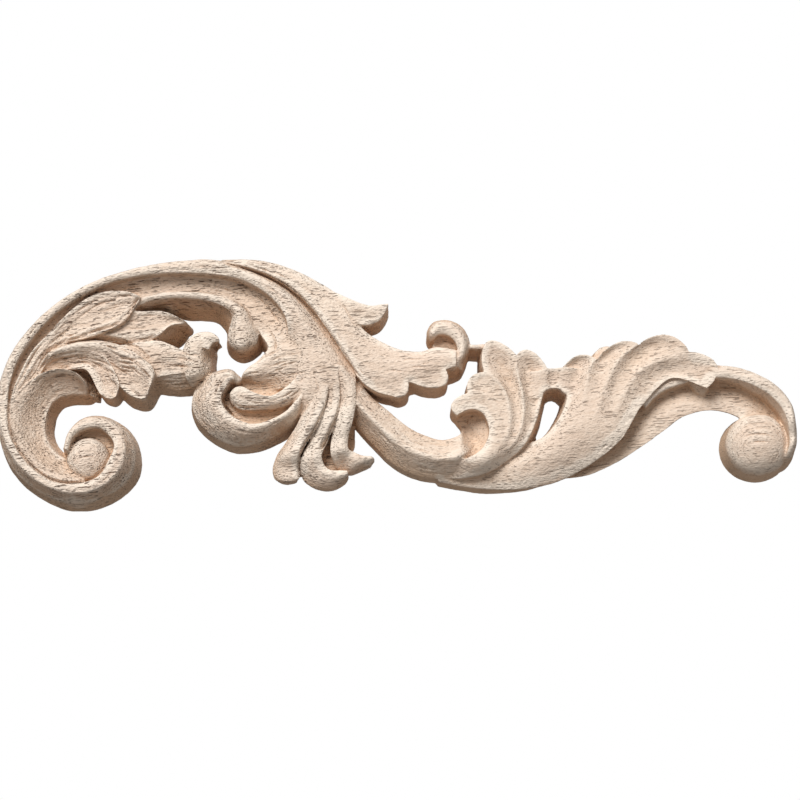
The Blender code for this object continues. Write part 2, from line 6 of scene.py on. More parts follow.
import bmesh
import bpy
import numpy as np
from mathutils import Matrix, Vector


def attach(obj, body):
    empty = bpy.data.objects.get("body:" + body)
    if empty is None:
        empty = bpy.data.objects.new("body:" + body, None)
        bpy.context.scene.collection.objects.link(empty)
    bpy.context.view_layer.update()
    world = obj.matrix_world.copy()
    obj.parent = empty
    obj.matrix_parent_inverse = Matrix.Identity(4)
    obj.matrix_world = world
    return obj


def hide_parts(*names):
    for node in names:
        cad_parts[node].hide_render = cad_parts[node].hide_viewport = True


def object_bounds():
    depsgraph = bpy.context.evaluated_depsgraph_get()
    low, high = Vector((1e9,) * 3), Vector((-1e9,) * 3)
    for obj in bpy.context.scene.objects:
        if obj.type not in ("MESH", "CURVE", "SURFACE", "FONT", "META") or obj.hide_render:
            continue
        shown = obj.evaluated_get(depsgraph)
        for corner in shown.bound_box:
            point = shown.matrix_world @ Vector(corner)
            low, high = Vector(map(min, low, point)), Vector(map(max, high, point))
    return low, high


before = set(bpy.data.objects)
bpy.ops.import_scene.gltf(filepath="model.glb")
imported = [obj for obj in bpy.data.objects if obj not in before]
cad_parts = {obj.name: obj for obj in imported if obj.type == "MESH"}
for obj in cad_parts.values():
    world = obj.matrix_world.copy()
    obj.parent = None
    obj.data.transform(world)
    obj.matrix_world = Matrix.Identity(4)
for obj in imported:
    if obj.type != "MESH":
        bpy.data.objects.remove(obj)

bl_info = {
    "name": "Carved wood applique",
    "version": (1, 0, 0),
    "blender": (4, 5, 0),
    "location": "View3D > Sidebar > Applique",
    "description": "Carves a pierced scroll applique and lights it on a pale floor",
    "category": "Add Mesh",
}

MM = 0.001
NODE = "carved_applique"
FRAME_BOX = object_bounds()

# The pattern sheet: quarter millimetres, x to the right and y down, drawn as the carving is seen from a
# reader's distance and a little below, so that a high edge is drawn further up than a low one.
SHEET_UNIT = 0.25 * MM
SHEET_SIZE = 800
SHEET_MIDDLE = (400, 400)
SIGHT_DISTANCE = 600 * MM
SIGHT_TILT = math.radians(11.5)
GLUE_POINT = (395, 372)
SENSOR_WIDTH = 36.0

# How far a wall leans outward for each millimetre that it runs down towards the back.
SPREAD = math.tan(math.radians(6))
WIDE_SPREAD = math.tan(math.radians(13))
UPRIGHT = 0.0
UNDERCUT = -math.tan(math.radians(13))
DRAWN_IN = -math.tan(math.radians(7))
BEHIND_BACK = 0.5 * MM

# The mesh of a stroke: how often it gets a row, by length and by turn, and how its rounded ends close.
ROW_STEP = 0.8 * MM
ROW_TURN = math.radians(7)
FINE_STEPS = 600
COLUMN_STEP = 0.6 * MM
TIP_ROWS = 10
LEAST_TIP_WIDTH = 0.1

# The lobes of a shell and the flutes below them, whose depth changes with the sheet length from the lip.
LOBE_COLUMNS = 22
LOBE_ROUNDNESS = 0.7
FLUTE_SHARPNESS = 1.2
FLUTE_DEPTH = 2.0 * MM
FLUTE_REACH = (0, 2.5, 10, 22, 46, 90)
FLUTE_SHARE = (0, 0.1, 0.8, 1, 0.5, 0)

# The ball of an eye: its mesh, and a power over 1 that makes it a little flatter than round.
EYE_SEGMENTS = 72
EYE_RINGS = 48
EYE_FLATNESS = 1.05

# Cuts: how sharply a step drops and fades, and how much less they bite where the wood turns from the front.
STEP_STEEPNESS = 6
STEP_FADE = 1.5
CUT_GAIN = 2
CUT_LOSS = 0.2

# Long gouge lines: where they run across a stroke, the longest and the shallowest as a share of what they may
# be, and how deep they are along their length.
LINE_SEED = 11
LINE_HALF_WIDTH = 1.3
LINE_PLACES = (0.08, 0.92)
LINE_LONGEST = 0.8
LINE_SHALLOWEST = 0.5
LINE_SHAPE = ((0, 0), (0.3, 0.9), (0.7, 1), (1, 0))

# The masks of the relief: a point's height is set against what lies so many cells round it, and the mask is
# full at this difference. The hollow mask places painted shade, the edge mask paler worn wood with a painted
# highlight. They fade on the walls, which have a mask of their own, for painted shade, that grows with
# steepness.
MASK_CELL = 0.25 * MM
MASK_MARGIN = 40
SHADE_AND_EDGE_MASKS = (("hollow", 10, -3.0 * MM), ("edge", 3, 0.5 * MM))
MASK_ON_WALLS = 0.35
MASK_GAIN = 1.5
LEAST_WEIGHT = 1e-4
WALL_SHADE_START = 0.25
WALL_SHADE_SPAN = 0.5

# How strongly each smoothing eases the edges, and the angle past which two faces are shaded apart.
EASE_FACTOR = 0.5
SHARP_ANGLE = math.radians(50)

# Pores: how they wander and cluster, and three layers of them, each with its spacing, its stretch along the
# grain, its width, its cluster size, its share of bare wood and its strength.
WOBBLE_SCALE = 0.35
WOBBLE = 0.9
CLUSTER_FADE = 0.22
LEAST_PORE = 0.3
PORE_CORE = 0.45
PORE_LAYERS = (
    (1.0, 22.0, 1.0, 6.0, 0.34, 1.0), (0.66, 12.0, 0.95, 3.5, 0.36, 0.7), (1.7, 7.0, 0.5, 9.0, 0.40, 1.0),
)

# The figure of the wood: how each pattern is stretched, its scale for each millimetre and its detail, and how
# the growth layers drift and slope, how thin they are and where they show.
FIGURE = {
    "Streaks": ((0.05, 0.6, 1.0), 0.9, 4.0), "Clouds": ((0.6, 1.0, 1.0), 0.05, 2.0),
    "Fibres": ((0.1, 1.0, 1.0), 2.2, 3.0), "Fuzz": ((0.6, 1.0, 1.0), 2.3, 3.0),
}
LAYER_DRIFT = (0.04, 0.25, 0.25)
LAYER_SLOPE = (0.02, 1.0, 0.3)
LAYER_WIDTH = 0.17
LAYER_PATCHES = 0.16
LAYER_SHOWN = (0.4, 0.6)

# How strongly each pattern tints the wood, and the part of its range over which it does.
CLOUD_RANGE = (0.35, 0.65)
STREAK_RANGE = (0.35, 0.7)
FUZZ_RANGE = (0.7, 0.3)
STREAK_SHARE = 0.42
RING_SHARE = 0.48
FUZZ_SHARE = 0.5
# The wall and hollow shares set how strongly painted shade is laid; the edge share sets the paler worn wood
# with its painted highlight.
WALL_SHADE_SHARE = 0.5
HOLLOW_SHADE_SHARE = 0.5
EDGE_WEAR_AND_HIGHLIGHT_SHARE = 0.6

# Pores and relief are clearest beyond this share of the way from the origin to the left end, and faintest
# beyond this share of the way to the right end, where they have this share of their strength.
CLEAR_END = 0.45
FAINT_END = 0.1
FAINT_SHARE = 0.5

# How far each pattern lifts the surface, where a pore sinks it by 1, and how roughness follows the fibres.
FIBRE_HEIGHT = 0.6
FUZZ_HEIGHT = 1.7
RING_HEIGHT = -0.5
SHEEN_RANGE = (0.3, 0.7)
SHEEN_CHANGE = 0.1

# The places and sizes of the lights in metres, and the colours of their light and of the fill.
KEY_PLACE = (-0.3, -0.95, 0.66)
KEY_SIZE = (0.6, 0.5)
BACK_PLACE = (0.4, 1.2, 0.7)
BACK_SIZE = (0.8, 0.8)
LAMP_COLOUR = (1.0, 0.985, 0.96)
FILL_COLOUR = (1.0, 0.94, 0.88)
FLOOR_ROUGHNESS = 0.9

# Heights that several cross lines have, in millimetres, from the first sheet point to the last.
RIM = (10.4, 13, 14, 14.1, 13.9, 13.5)
LIP = (9.9, 10.9, 11, 10.4)
WING_ROOT = (12.2, 12.8, 13, 12.8, 12.4)
WING_TIP = (13.5, 13.4, 13.3, 13.2, 13)
TOE_HOOK = (7.4, 9, 10.2, 10.8, 10.4)
FOOT = (9.2, 5.6, 1.6)
SHELL_UNDER = (6.2, 6.9, 7.3, 7.4, 7)
SHELL_LIP = (12.4, 13, 13.3, 13, 12.4)
BRIDGE = (12.3, 12, 11.7, 11.6, 11.6)
BRIDGE_END = (11, 11, 11, 11, 11)
TAIL_RIM = (9, 11.2, 12.2, 12.5, 12.4, 12)

# A stroke is its name, its cross lines, and the sheet length over which its start and its end are rounded.
# Its walls spread towards the back unless it ends with a lean of its own: one number, or a pair for the sides
# at the first and the last point of its cross lines. A cross line is two or more sheet points x, y and then
# its heights in millimetres from the first point to the last. A line that gives none has those before it.
STROKES = [
    ("scroll", [
        (352, 424, 300, 430, (6, 7, 7, 7, 6)), (357, 388, 294, 402, (10.8, 12, 12.6, 12.1, 10.4)),
        (348, 360, 285, 376, (11.4, 12.8, 13.5, 13.5, 12.9, 11.7, 9.8)), (334, 338, 286, 350),
        (314, 311, 287, 322, (10.4, 12.2, 13.6, 14.2, 14.2, 13.9, 13.4)), (284, 285, 271, 297),
        (250, 269.5, 244, 280.5), (215, 260, 214, 274, RIM), (180, 261, 182, 272.5), (140, 268, 143, 275),
        (98, 281, 101.5, 285.5), (60, 302, 65, 305.5), (28, 331, 34.5, 335), (8, 360, 15.5, 364.5),
        (-2, 392, 8, 393.5, (10.4, 12.3, 12.9, 13, 12.9, 12.7)), (-3, 424, 9, 421),
        (5, 455, 18, 446, (8.2, 9.7, 11.3, 12.7, 12.9, 13, 12.9, 12.6)), (20, 477, 33, 465),
        (42, 493, 50, 477.5), (68, 503, 70, 482), (94, 501, 88, 481), (118, 489, 101, 473),
        (133, 471, 109, 459), (134.5, 449, 114, 446), (123, 426, 108, 434, (7, 9.6, 11, 11.4, 11.3, 10.8)),
        (101, 416, 97, 427), (82, 419, 83, 429), (69, 432, 73, 437), (63.5, 450, 68, 451),
    ], (0, 0)),
    ("c_hollow", [
        (84, 380, 89, 394, (12.9, 11.4, 10, 9, 8.2, 7.4, 6.8)), (74, 371.5, 80, 394), (60, 368.5, 72, 394),
        (42, 373, 60, 397), (22, 388, 51, 405, (12.2, 11.7, 10.9, 9.6, 8.4, 7.4, 6.8)), (9, 406, 46, 417),
        (8, 424, 45, 431), (21, 457, 56, 453), (40, 474.5, 66, 459), (64, 483, 78, 466),
        (84, 482, 88, 468, (10.2, 9.6, 8.8, 8, 7.4, 7, 6.6)),
    ], (4, 0), (SPREAD, WIDE_SPREAD)),
    ("head_foot", [
        (72, 370, 92, 371, (6.2, 5.4, 3)), (80, 380, 97, 385), (84, 392, 99, 400),
    ], (0, 0)),
    ("cove", [
        (7, 405, 24, 402, (11.4, 10.6, 10, 9.6, 9.4)), (12, 372, 34, 384), (31, 336, 58, 352),
        (61, 307, 86, 326), (98, 285, 112, 308), (142, 275, 146, 298), (198, 271, 198, 293),
        (247, 281, 238, 306, (10.8, 9.8, 9.4, 9.5, 9.9)), (266, 292, 252, 320), (281, 309, 262, 336),
        (293, 330, 268, 347, (11.9, 11.3, 10.9, 10.8, 10.7)), (300, 352, 264, 358),
    ], (0, 0)),
    ("lip", [
        (126, 297, 136, 306, LIP), (150, 293.5, 152, 300.5), (180, 290.5, 180, 298), (206, 292, 204, 300),
        (230, 297.5, 222, 305.5), (248, 309, 232, 315, (9, 11.2, 12.1, 11.8, 9.8)), (257, 325, 229, 329),
        (257.5, 341, 228.5, 341), (252, 351, 233, 352),
    ], (0, 9)),
    ("lip_foot", [
        (138, 302, 142, 309, FOOT), (166, 298, 170, 315), (188, 298, 189, 319), (204, 300, 205, 319.5),
        (216, 303, 218, 322), (226, 308, 226, 330), (236, 318, 229, 340),
    ], (0, 0)),
    ("leaf_top", [
        (9.5, 404, 13, 404, (12.5, 12.4, 12.1, 11.6, 11)), (14, 387, 24, 390), (21, 371, 38, 377),
        (32, 351, 50, 358), (50, 331.5, 64, 343, (12.6, 12, 11.6, 11.4, 11.5, 11.9, 12.3)),
        (74, 307.5, 86, 337), (97, 293.5, 106, 330.5), (120, 290.5, 122, 322), (133, 293, 131, 312),
        (141, 297, 136, 304),
    ], (0, 2)),
    ("leaf_mid", [
        (60, 334, 62, 344, (11.2, 10.5, 10.2, 10.3, 10.6, 10.4, 9.4)), (90, 330, 90, 339),
        (112, 321, 112, 341), (130, 311.5, 128, 343), (145, 311, 143, 343), (158, 310.5, 152, 339.5),
        (168, 312.5, 161, 333, (11.9, 10.7, 10.4, 10.7, 11)), (177, 316.5, 170, 325.5),
        (185.5, 321, 183, 323),
    ], (0, 1)),
    ("leaf_mid_foot", [
        (156, 340, 174, 349, FOOT), (165, 331, 182, 344), (174, 324, 188, 336), (183, 320, 189.5, 325),
    ], (0, 0)),
    ("leaf_seat", [
        (120, 345, 128, 380, (10.6, 10.8, 10.7, 10.4, 10.2)), (140, 342, 140, 380), (152, 340.5, 152, 379),
        (163, 341.5, 163, 376), (174, 346, 174, 374), (186, 351, 187, 373.5), (203, 352, 204, 376),
    ], (0, 0)),
    ("leaf_under", [
        (146, 376, 151, 385, (10.2, 9.3, 7.6, 5.8)), (160, 374, 161, 388), (177, 371.5, 178, 390),
        (194, 371, 195, 388), (208, 368, 207, 382),
    ], (0, 0)),
    ("pillar", [
        (194, 390, 208, 385, (6, 6.4, 6.6, 6.4, 6)),
        (187, 380, 210, 377, (9.8, 10.6, 11.2, 11.2, 10.6, 9.4, 8)),
        (184, 368, 211, 368, (10.6, 11.7, 12.3, 12.4, 11.8, 10.2, 8.4)), (182.5, 354, 211, 355),
        (186, 342, 210, 347, (10.8, 11.8, 12.3, 12.4, 12.2, 11.8, 11.2)), (192, 336, 209, 343),
    ], (0, 1)),
    ("hook", [
        (187, 342, 209, 350, (11.6, 12.1, 12.3, 12.2, 11.8)), (191, 336.5, 211, 346),
        (197, 333, 213, 343.5), (205, 331.5, 215.5, 342), (213, 333, 218, 342), (219, 338, 220, 342.5),
    ], (0, 1), DRAWN_IN),
    ("leaf_long", [
        (20, 388, 24, 392, (10.6, 11.2, 11, 10.6, 10.2, 9.8, 9.6)), (36, 366, 43, 378),
        (50, 351.5, 54, 368, (10.8, 12.9, 12.6, 11.4, 10.3, 9.7, 9.6)), (63, 345, 65, 368),
        (80, 341, 80, 367), (99, 340.5, 96, 369), (112, 342.5, 105, 374),
        (123, 346.5, 112, 380, (12, 12.9, 12.3, 11.3, 10.6, 10.7, 11.1)), (134, 351.5, 119, 385),
        (144, 359, 125, 391), (153, 368, 133, 396.5), (154.5, 377, 141, 398.5), (149.5, 387, 145.5, 398),
    ], (0, 2)),
    ("leaf_low", [
        (50, 363, 52, 370, (9.8, 9.4, 9.2, 9.2, 9.4, 9.6, 9.8)), (72, 356, 74, 369),
        (91, 352, 87, 370.5, (11.9, 11, 10.3, 10, 10.2, 10.6, 10.8)), (103, 355, 92.5, 379),
        (110.5, 364, 96.5, 388), (116, 374, 101, 394.5), (119, 384, 107, 398), (117.5, 392.5, 112.5, 399),
    ], (0, 2), UPRIGHT),
    ("wing", [
        (222, 260, 222, 264, (9.4, 10.8, 12, 12.8, 13.2)),
        (250, 259.5, 250, 268, (12.2, 13.2, 13.7, 13.8, 13.7, 13.4)), (275, 263.5, 272, 276.5),
        (300, 272.5, 296, 291.5), (325, 286, 317, 313.5), (346, 301, 334, 338), (364, 330, 350, 361.5),
        (382, 342, 367, 381), (402, 350, 392, 382), (420, 351.5, 414, 378), (438, 347, 440, 371),
        (456, 350, 456, 366),
    ], (0, 0)),
    ("wing_spur", [
        (326, 288, 336, 326, WING_ROOT), (352, 299.5, 355, 323.5, WING_TIP), (362, 303.5, 364, 325),
        (373, 305.5, 373.5, 323.5), (382, 304, 380.5, 319.5), (389, 303.5, 386, 311.5),
    ], (0, 1), UPRIGHT),
    ("wing_low", [
        (345, 338, 354, 371, WING_ROOT), (366, 352, 362, 381.5, WING_TIP), (384, 360, 376, 391.5),
        (398, 368, 390, 395.5), (407, 377, 400, 397.3), (409.5, 387, 407, 394.5),
    ], (0, 2), UPRIGHT),
    ("wing_end", [
        (388, 352, 386, 376, WING_ROOT), (408, 356, 410, 382, WING_TIP), (424, 360, 424, 386.8),
        (438, 363, 438, 387.5), (449, 373, 447.5, 384),
    ], (0, 3), UPRIGHT),
    ("curl", [
        (462, 371, 445, 360, (9.6, 12, 13.1, 13.1, 12.3)), (467.5, 358, 457, 354), (470, 343, 456.5, 345),
        (462, 327, 451.5, 337.5), (446, 319.8, 444, 334.3), (432, 323.5, 437.5, 334.8),
        (426.5, 333, 436, 336.5), (428, 342.5, 434, 340, (8.8, 10.6, 11.4, 11.2, 10.4)),
    ], (0, 3), UPRIGHT),
    ("toe_web", [
        (312, 380, 350, 380, (6, 6.6, 6.6, 6)), (312, 410, 354, 410), (302, 432, 355, 434),
        (294, 452, 354, 450), (292, 470, 343, 466), (294, 476, 334, 476),
    ], (0, 0), DRAWN_IN),
    ("toe_left", [
        (302, 366, 330, 370, (11.6, 12.8, 13.4, 13.4, 13.1)),
        (307, 396, 327.5, 398, (9.8, 11.6, 12.6, 13.1, 13.2, 13)), (299, 420, 319, 423),
        (286, 442, 306.5, 443, (8.8, 10.4, 11.4, 12, 12.2, 12)), (275.5, 458, 300.5, 456),
        (272.5, 470, 299.5, 468, (7.6, 8.9, 9.6, 10, 10, 9.6)), (276, 484, 300.5, 482),
    ], (0, 6), DRAWN_IN),
    ("toe_middle", [
        (320, 364, 338, 366, (13.5, 13.6, 13.6, 13.6, 13.5)),
        (328, 398, 340, 402, (12, 12.4, 12.8, 13, 13, 12.7)), (320.5, 421, 335.5, 421),
        (308.5, 443, 327, 443, (10.4, 11, 11.5, 11.9, 11.9, 11.4)), (301, 461, 322, 456),
        (303, 480, 325, 466, TOE_HOOK), (318, 489, 332.5, 470), (335, 489, 341, 470),
        (349, 481, 348.5, 470.5),
    ], (0, 2), DRAWN_IN),
    ("toe_right", [
        (336, 364, 352, 367, (13.2, 13.2, 12.7, 11.7, 10.5)),
        (340.5, 400, 356.5, 400, (11.6, 12.4, 12.9, 13.2, 13, 12.4)), (336, 421, 352, 424),
        (331, 441, 348, 440, (10.6, 11.2, 11.8, 12.2, 12, 11.2)), (331, 456, 349, 449),
        (337, 469, 353.5, 451.5, TOE_HOOK), (351, 474, 361, 455), (362, 470, 367, 456),
        (374, 465, 375, 456),
    ], (0, 6), DRAWN_IN),
    ("roll", [
        (312, 400, 302, 392, (7.4, 9.2, 10.4, 11.4, 11.9, 11.8)),
        (300, 420, 287, 410, (7.4, 9.6, 11.3, 12.4, 12.9, 12.5)), (280, 434, 270, 419.5),
        (256, 444, 252, 423.5), (233, 445, 236, 418.5), (212, 435, 225.5, 409.5), (197, 420, 221, 400),
        (192, 403, 222, 393), (198, 385, 226, 387), (213, 372.5, 231, 379.5, (9, 11.6, 12.8, 13.2, 13)),
        (231, 369.5, 234, 379.5), (242, 380, 237, 384, LIP),
    ], (0, 0)),
    ("roll_inner", [
        (312, 388, 306, 366, (10.2, 11.6, 12.1, 12.3, 12.2)), (292, 403, 288, 385),
        (268, 409.5, 270, 395.5), (250, 410, 252, 391.5), (237, 408, 241, 386), (228.5, 400, 231, 388.5),
    ], (0, 5)),
    ("roll_dish", [
        (306, 412, 300, 372, (7.6, 7.6, 7.6)), (270, 424, 262, 376), (240, 420, 246, 384),
        (224, 402, 232, 384),
    ], (0, 0)),
    ("shoulder", [
        (308, 338, 308, 382, (11.2, 12, 12.4, 12.3, 11.8, 11, 10)), (288, 341, 289, 386),
        (270, 348, 270, 392, (10.6, 11.4, 11.6, 11.3, 10.2, 8.4, 7.2)), (257, 361, 256, 389),
        (248, 367.5, 248, 385), (241.5, 374.5, 242, 382),
    ], (0, 3)),
    ("stem", [
        (348, 416, 357, 380, (6.8, 8.3, 9.8, 11.3, 12.5, 12.1, 11.4, 10.7, 10, 9.2)), (360, 431, 372, 397),
        (375, 447, 385, 408), (388, 460, 397, 418), (402, 469.5, 409, 427.5), (420, 476.5, 424, 435),
        (440, 479, 442, 440), (464, 477, 459, 435),
        (486, 454, 461, 427, (9.4, 8.9, 8.3, 7.7, 7.2, 6.8, 6.6, 6.5, 6.5, 6.5)), (491, 430, 455, 417),
        (486, 412, 460, 408),
    ], (0, 0), UPRIGHT),
    ("web", [
        (456, 344, 456, 348.5, (10.2, 10.6, 10.4)), (470, 344.5, 470, 348.5), (486, 344, 486, 349),
    ], (0, 0)),
    ("bridge", [
        (522, 372, 524, 398, BRIDGE_END), (541, 370, 539, 397, BRIDGE), (547, 368.5, 545.5, 390.5),
        (553, 368.3, 552, 388, (12, 11.4, 11, 10.9, 11.1)), (560, 367.5, 559, 388.5, BRIDGE),
        (566, 367.5, 565, 393), (584, 368, 578, 394, BRIDGE_END),
    ], (0, 0)),
    ("shell_foot", [
        (438, 478, 438, 486, (6.6, 3.6, 0.8)), (460, 484, 460, 490), (482, 487, 482, 493),
        (510, 487, 511, 492), (540, 482, 541, 486), (566, 473, 568, 475),
    ], (0, 0)),
    ("back_lobe", [
        (592, 364, 614, 362, (10.4, 11.2, 10.8)), (595, 354, 613, 353), (601, 346.5, 614, 346.5),
    ], (0, 2)),
    ("tail", [
        (548, 470, 550, 480, (3, 3, 3, 3, 3)), (580, 461, 585, 476, (7.4, 6.8, 6.6, 6.9, 7)),
        (604, 438, 611, 465.5), (624, 408, 639, 448.5),
        (643, 385, 663, 431.5, (7.4, 6.6, 6.6, 7.1, 7.6, 7.6)), (670, 371, 684, 416.5),
        (702, 366, 709, 410.5), (730, 371, 728, 413), (757, 379, 742, 420), (781, 398, 750, 436),
        (791, 425, 757, 452),
    ], (0, 0), UNDERCUT),
    ("tail_web", [
        (574, 452, 590, 472, (4, 4.2, 4)), (600, 430, 617, 447), (622, 402, 644, 416),
        (640, 380, 660, 400), (668, 370, 676, 394), (702, 367, 704, 390),
    ], (0, 0), UPRIGHT),
    ("tip_foot", [
        (686, 377, 688, 385, (11.2, 9.8, 7.8)), (695, 380, 696, 393.5), (703, 384, 704, 396),
        (709, 386, 709, 391),
    ], (0, 1)),
    ("tail_ridge", [
        (642, 404, 646, 407, (9.8, 10.6, 10.2)), (651, 390, 656, 396), (662, 382, 667, 389),
        (675, 377, 679, 384.5), (690, 376, 693, 380.5),
    ], (0, 0)),
    ("tail_rim", [
        (694, 362, 694, 376, (7, 8.6, 9, 8.6, 8)), (714, 365, 715, 377, TAIL_RIM),
        (733, 366.5, 733, 378.5), (757, 374, 753, 385, RIM), (777, 386, 770, 395), (791, 403, 782, 408),
        (796, 424, 788.5, 425), (797, 436, 789.5, 436, TAIL_RIM), (796, 447, 789.5, 445),
        (791, 458, 785.5, 454, (8.4, 9.8, 10.4, 10.2)), (783, 467, 779, 462, (6, 7.2, 7.6, 7.2)),
    ], (0, 3)),
]

# A shell is a stroke that ends in a lobed lip: its name, its cross lines, the notches of the lip, the crests
# between them, how deep each lobe is scooped, and how its walls lean.
SHELLS = [
    ("shell_left", [
        (436, 477, 436, 462, SHELL_UNDER), (464, 478, 464, 459, (8.4, 9.4, 10.4, 11.4, 12)),
        (488, 472, 479, 451, (9.8, 11.2, 12.4, 13.1, 13.3, 13.2, 12.8)), (509, 460, 487, 440),
        (525, 444, 489, 429, (11.6, 12.6, 13.1, 13.4, 13.4, 13.1, 12.6)), (535, 424, 485, 416),
        (541, 402, 505, 392, 474, 409), (546, 382, 508, 368, 478, 386, 464, 411),
    ],
        [(547, 368), (517, 355.5), (484, 372), (468, 393), (457, 415)],
        [(531, 350.5), (488, 341), (470, 378), (452, 403)],
        (0.9, 1, 0.4, 0.1), (SPREAD, UPRIGHT)),
    ("shell_right", [
        (438, 482, 440, 470, SHELL_UNDER), (480, 489, 486, 464),
        (522, 489, 514, 448, (7.8, 8.9, 9.6, 10, 9.8, 9, 7.8)),
        (560, 481, 543, 437, (8.4, 9.8, 10.9, 11.7, 12, 11.6, 10.8)),
        (592, 463.5, 558, 420, (9.8, 11, 12, 12.7, 12.9, 12.5, 11.4)),
        (620, 441, 566, 402, (11.6, 12.6, 13.1, 13.4, 13.3, 12.7, 11.5)), (643, 405, 606, 385, 566, 388),
        (670, 379, 618, 361, 563, 375),
    ],
        [(707, 388), (689, 351.5), (639, 344.5), (597, 360), (563, 370)],
        [(717, 364), (667, 334.5), (617, 342.5), (578, 355)],
        (0.6, 0.9, 0.9, 0.8), (UNDERCUT, SPREAD)),
]

# A boss is its name, the sheet point of its middle, its half width and half height on the sheet, and the
# heights in millimetres of its crown and of the shoulder where its side starts down.
BOSSES = [
    ("volute_eye", 87, 458.5, 21.5, 22, 13.6, 7),
    ("volute_floor", 92, 450, 24, 24, 7.2, 6.6),
    ("curl_floor", 446, 347, 13, 11, 9.4, 8.8),
    ("tail_eye", 760, 442, 32, 30, 14.6, 6.6),
]

# A cut is its kind and its path: sheet x, y, half width in sheet units and depth in millimetres.
# A vee and a hollow are the same on both sides of the path; a step drops on the right of the way it runs.
CUTS = {
    "rim groove": ("vee", [
        (11, 392, 1.8, 0.4), (8.5, 408, 2, 0.9), (9, 425, 2, 1.2), (12, 437, 2, 1.4), (20, 452, 2, 1.5),
        (30, 464, 2, 1.5), (40, 472.5, 2, 1.5), (50, 478.5, 2, 1.5), (60, 481.5, 2, 1.5),
        (70, 482.5, 2, 1.3), (80, 482, 2, 0.9), (90, 479, 1.5, 0.3),
    ]),
    "body edge": ("step", [
        (228, 263, 4, 0.5), (250, 268, 6, 1.6), (270, 275.5, 8, 2.1), (290, 286.5, 10, 2.1),
        (310, 305, 15, 1.8), (330, 332, 19, 1.5), (350, 361, 15, 1.4), (357, 372, 6, 0.8),
    ]),
    "toe groove one": ("step", [
        (330, 388, 2, 0.3), (326.5, 404, 3, 1), (321.5, 416, 3, 1.3), (312.5, 433, 3.4, 1.6),
        (306, 443, 3.6, 1.8), (301.5, 453, 3.6, 2), (300, 465, 3.4, 1.8), (301, 478, 3, 1.4),
    ]),
    "toe groove two": ("step", [
        (340.5, 400, 2, 0.3), (338.5, 412, 3, 1), (336, 420, 3.4, 1.5), (332, 428, 4, 1.8),
        (328.5, 438, 5, 2.2), (324, 446, 6, 2.6),
    ]),
    "leaf edge": ("step", [
        (141, 297, 3, 0.6), (138, 300, 4, 0.9), (134, 307, 5, 1.2), (130, 314, 5, 1.2), (124, 321, 5, 1.2),
        (117, 325, 5, 1.1), (110, 328, 5, 1), (100, 330, 4, 0.8), (84, 334, 3, 0.4),
    ]),
    "ridge valley": ("hollow", [
        (40, 358, 3, 0.3), (48, 351, 4, 0.8), (60, 344, 4.5, 1.1), (80, 338.5, 5, 1.2),
        (100, 338.5, 5, 1.2), (120, 341, 4, 1), (140, 350, 3, 0.6), (148, 357, 3, 0.3),
    ]),
    "gouge one": ("vee", [(118, 358, 1.2, 0.3), (125, 358.5, 1.6, 0.8), (133, 360, 1.2, 0.3)]),
    "gouge two": ("vee", [(119, 362, 1.2, 0.3), (127, 363, 1.6, 0.8), (135, 364, 1.2, 0.3)]),
    "gouge three": ("vee", [(120, 366.5, 1.2, 0.3), (127, 367.5, 1.6, 0.8), (134, 368.5, 1.2, 0.3)]),
    "gouge four": ("vee", [(121, 370.5, 1.2, 0.3), (127, 371, 1.5, 0.7), (132, 372, 1.2, 0.3)]),
    "eye crack": ("vee", [(77, 458.5, 0.8, 0.2), (85, 456.5, 1.1, 0.7), (93, 456.5, 0.8, 0.2)]),
    "ball crack one": ("vee", [
        (742, 438, 0.8, 0.1), (752, 434.5, 1, 0.4), (764, 434, 1.1, 0.5), (777, 437, 0.8, 0.1),
    ]),
    "ball crack two": ("vee", [(745, 444, 0.8, 0.1), (758, 441.5, 1.1, 0.5), (772, 442, 0.8, 0.1)]),
    "ball crack three": ("vee", [(752, 429, 0.8, 0.1), (762, 427.5, 1, 0.35), (772, 429.5, 0.8, 0.1)]),
    "wing crack one": ("vee", [(384, 371.5, 0.8, 0.1), (393, 370.5, 1, 0.5), (403, 371.5, 0.8, 0.1)]),
    "wing crack two": ("vee", [(398, 361, 0.8, 0.1), (412, 359, 1, 0.45), (428, 359.5, 0.8, 0.1)]),
    "wing crack three": ("vee", [(408, 368, 0.8, 0.1), (417, 366.5, 1, 0.45), (427, 367.5, 0.8, 0.1)]),
}

# Long gouge lines run along these strokes: the stroke's name, how many, their least and greatest length in
# sheet units, and how deep they are in millimetres.
LINED = [
    ("leaf_top", 30, 14, 50, 0.55), ("leaf_mid", 12, 10, 30, 0.5), ("leaf_seat", 10, 8, 30, 0.5),
    ("leaf_long", 24, 10, 36, 0.6), ("leaf_low", 14, 8, 24, 0.5), ("scroll", 50, 8, 26, 0.35),
    ("cove", 26, 12, 50, 0.5), ("c_hollow", 12, 6, 16, 0.3), ("roll", 18, 8, 22, 0.45),
    ("roll_inner", 10, 8, 24, 0.5), ("shoulder", 12, 10, 34, 0.6), ("wing", 22, 8, 24, 0.35),
    ("stem", 20, 10, 34, 0.35), ("tail", 12, 8, 26, 0.25), ("tail_rim", 8, 6, 16, 0.25),
    ("leaf_under", 8, 8, 30, 0.45),
]


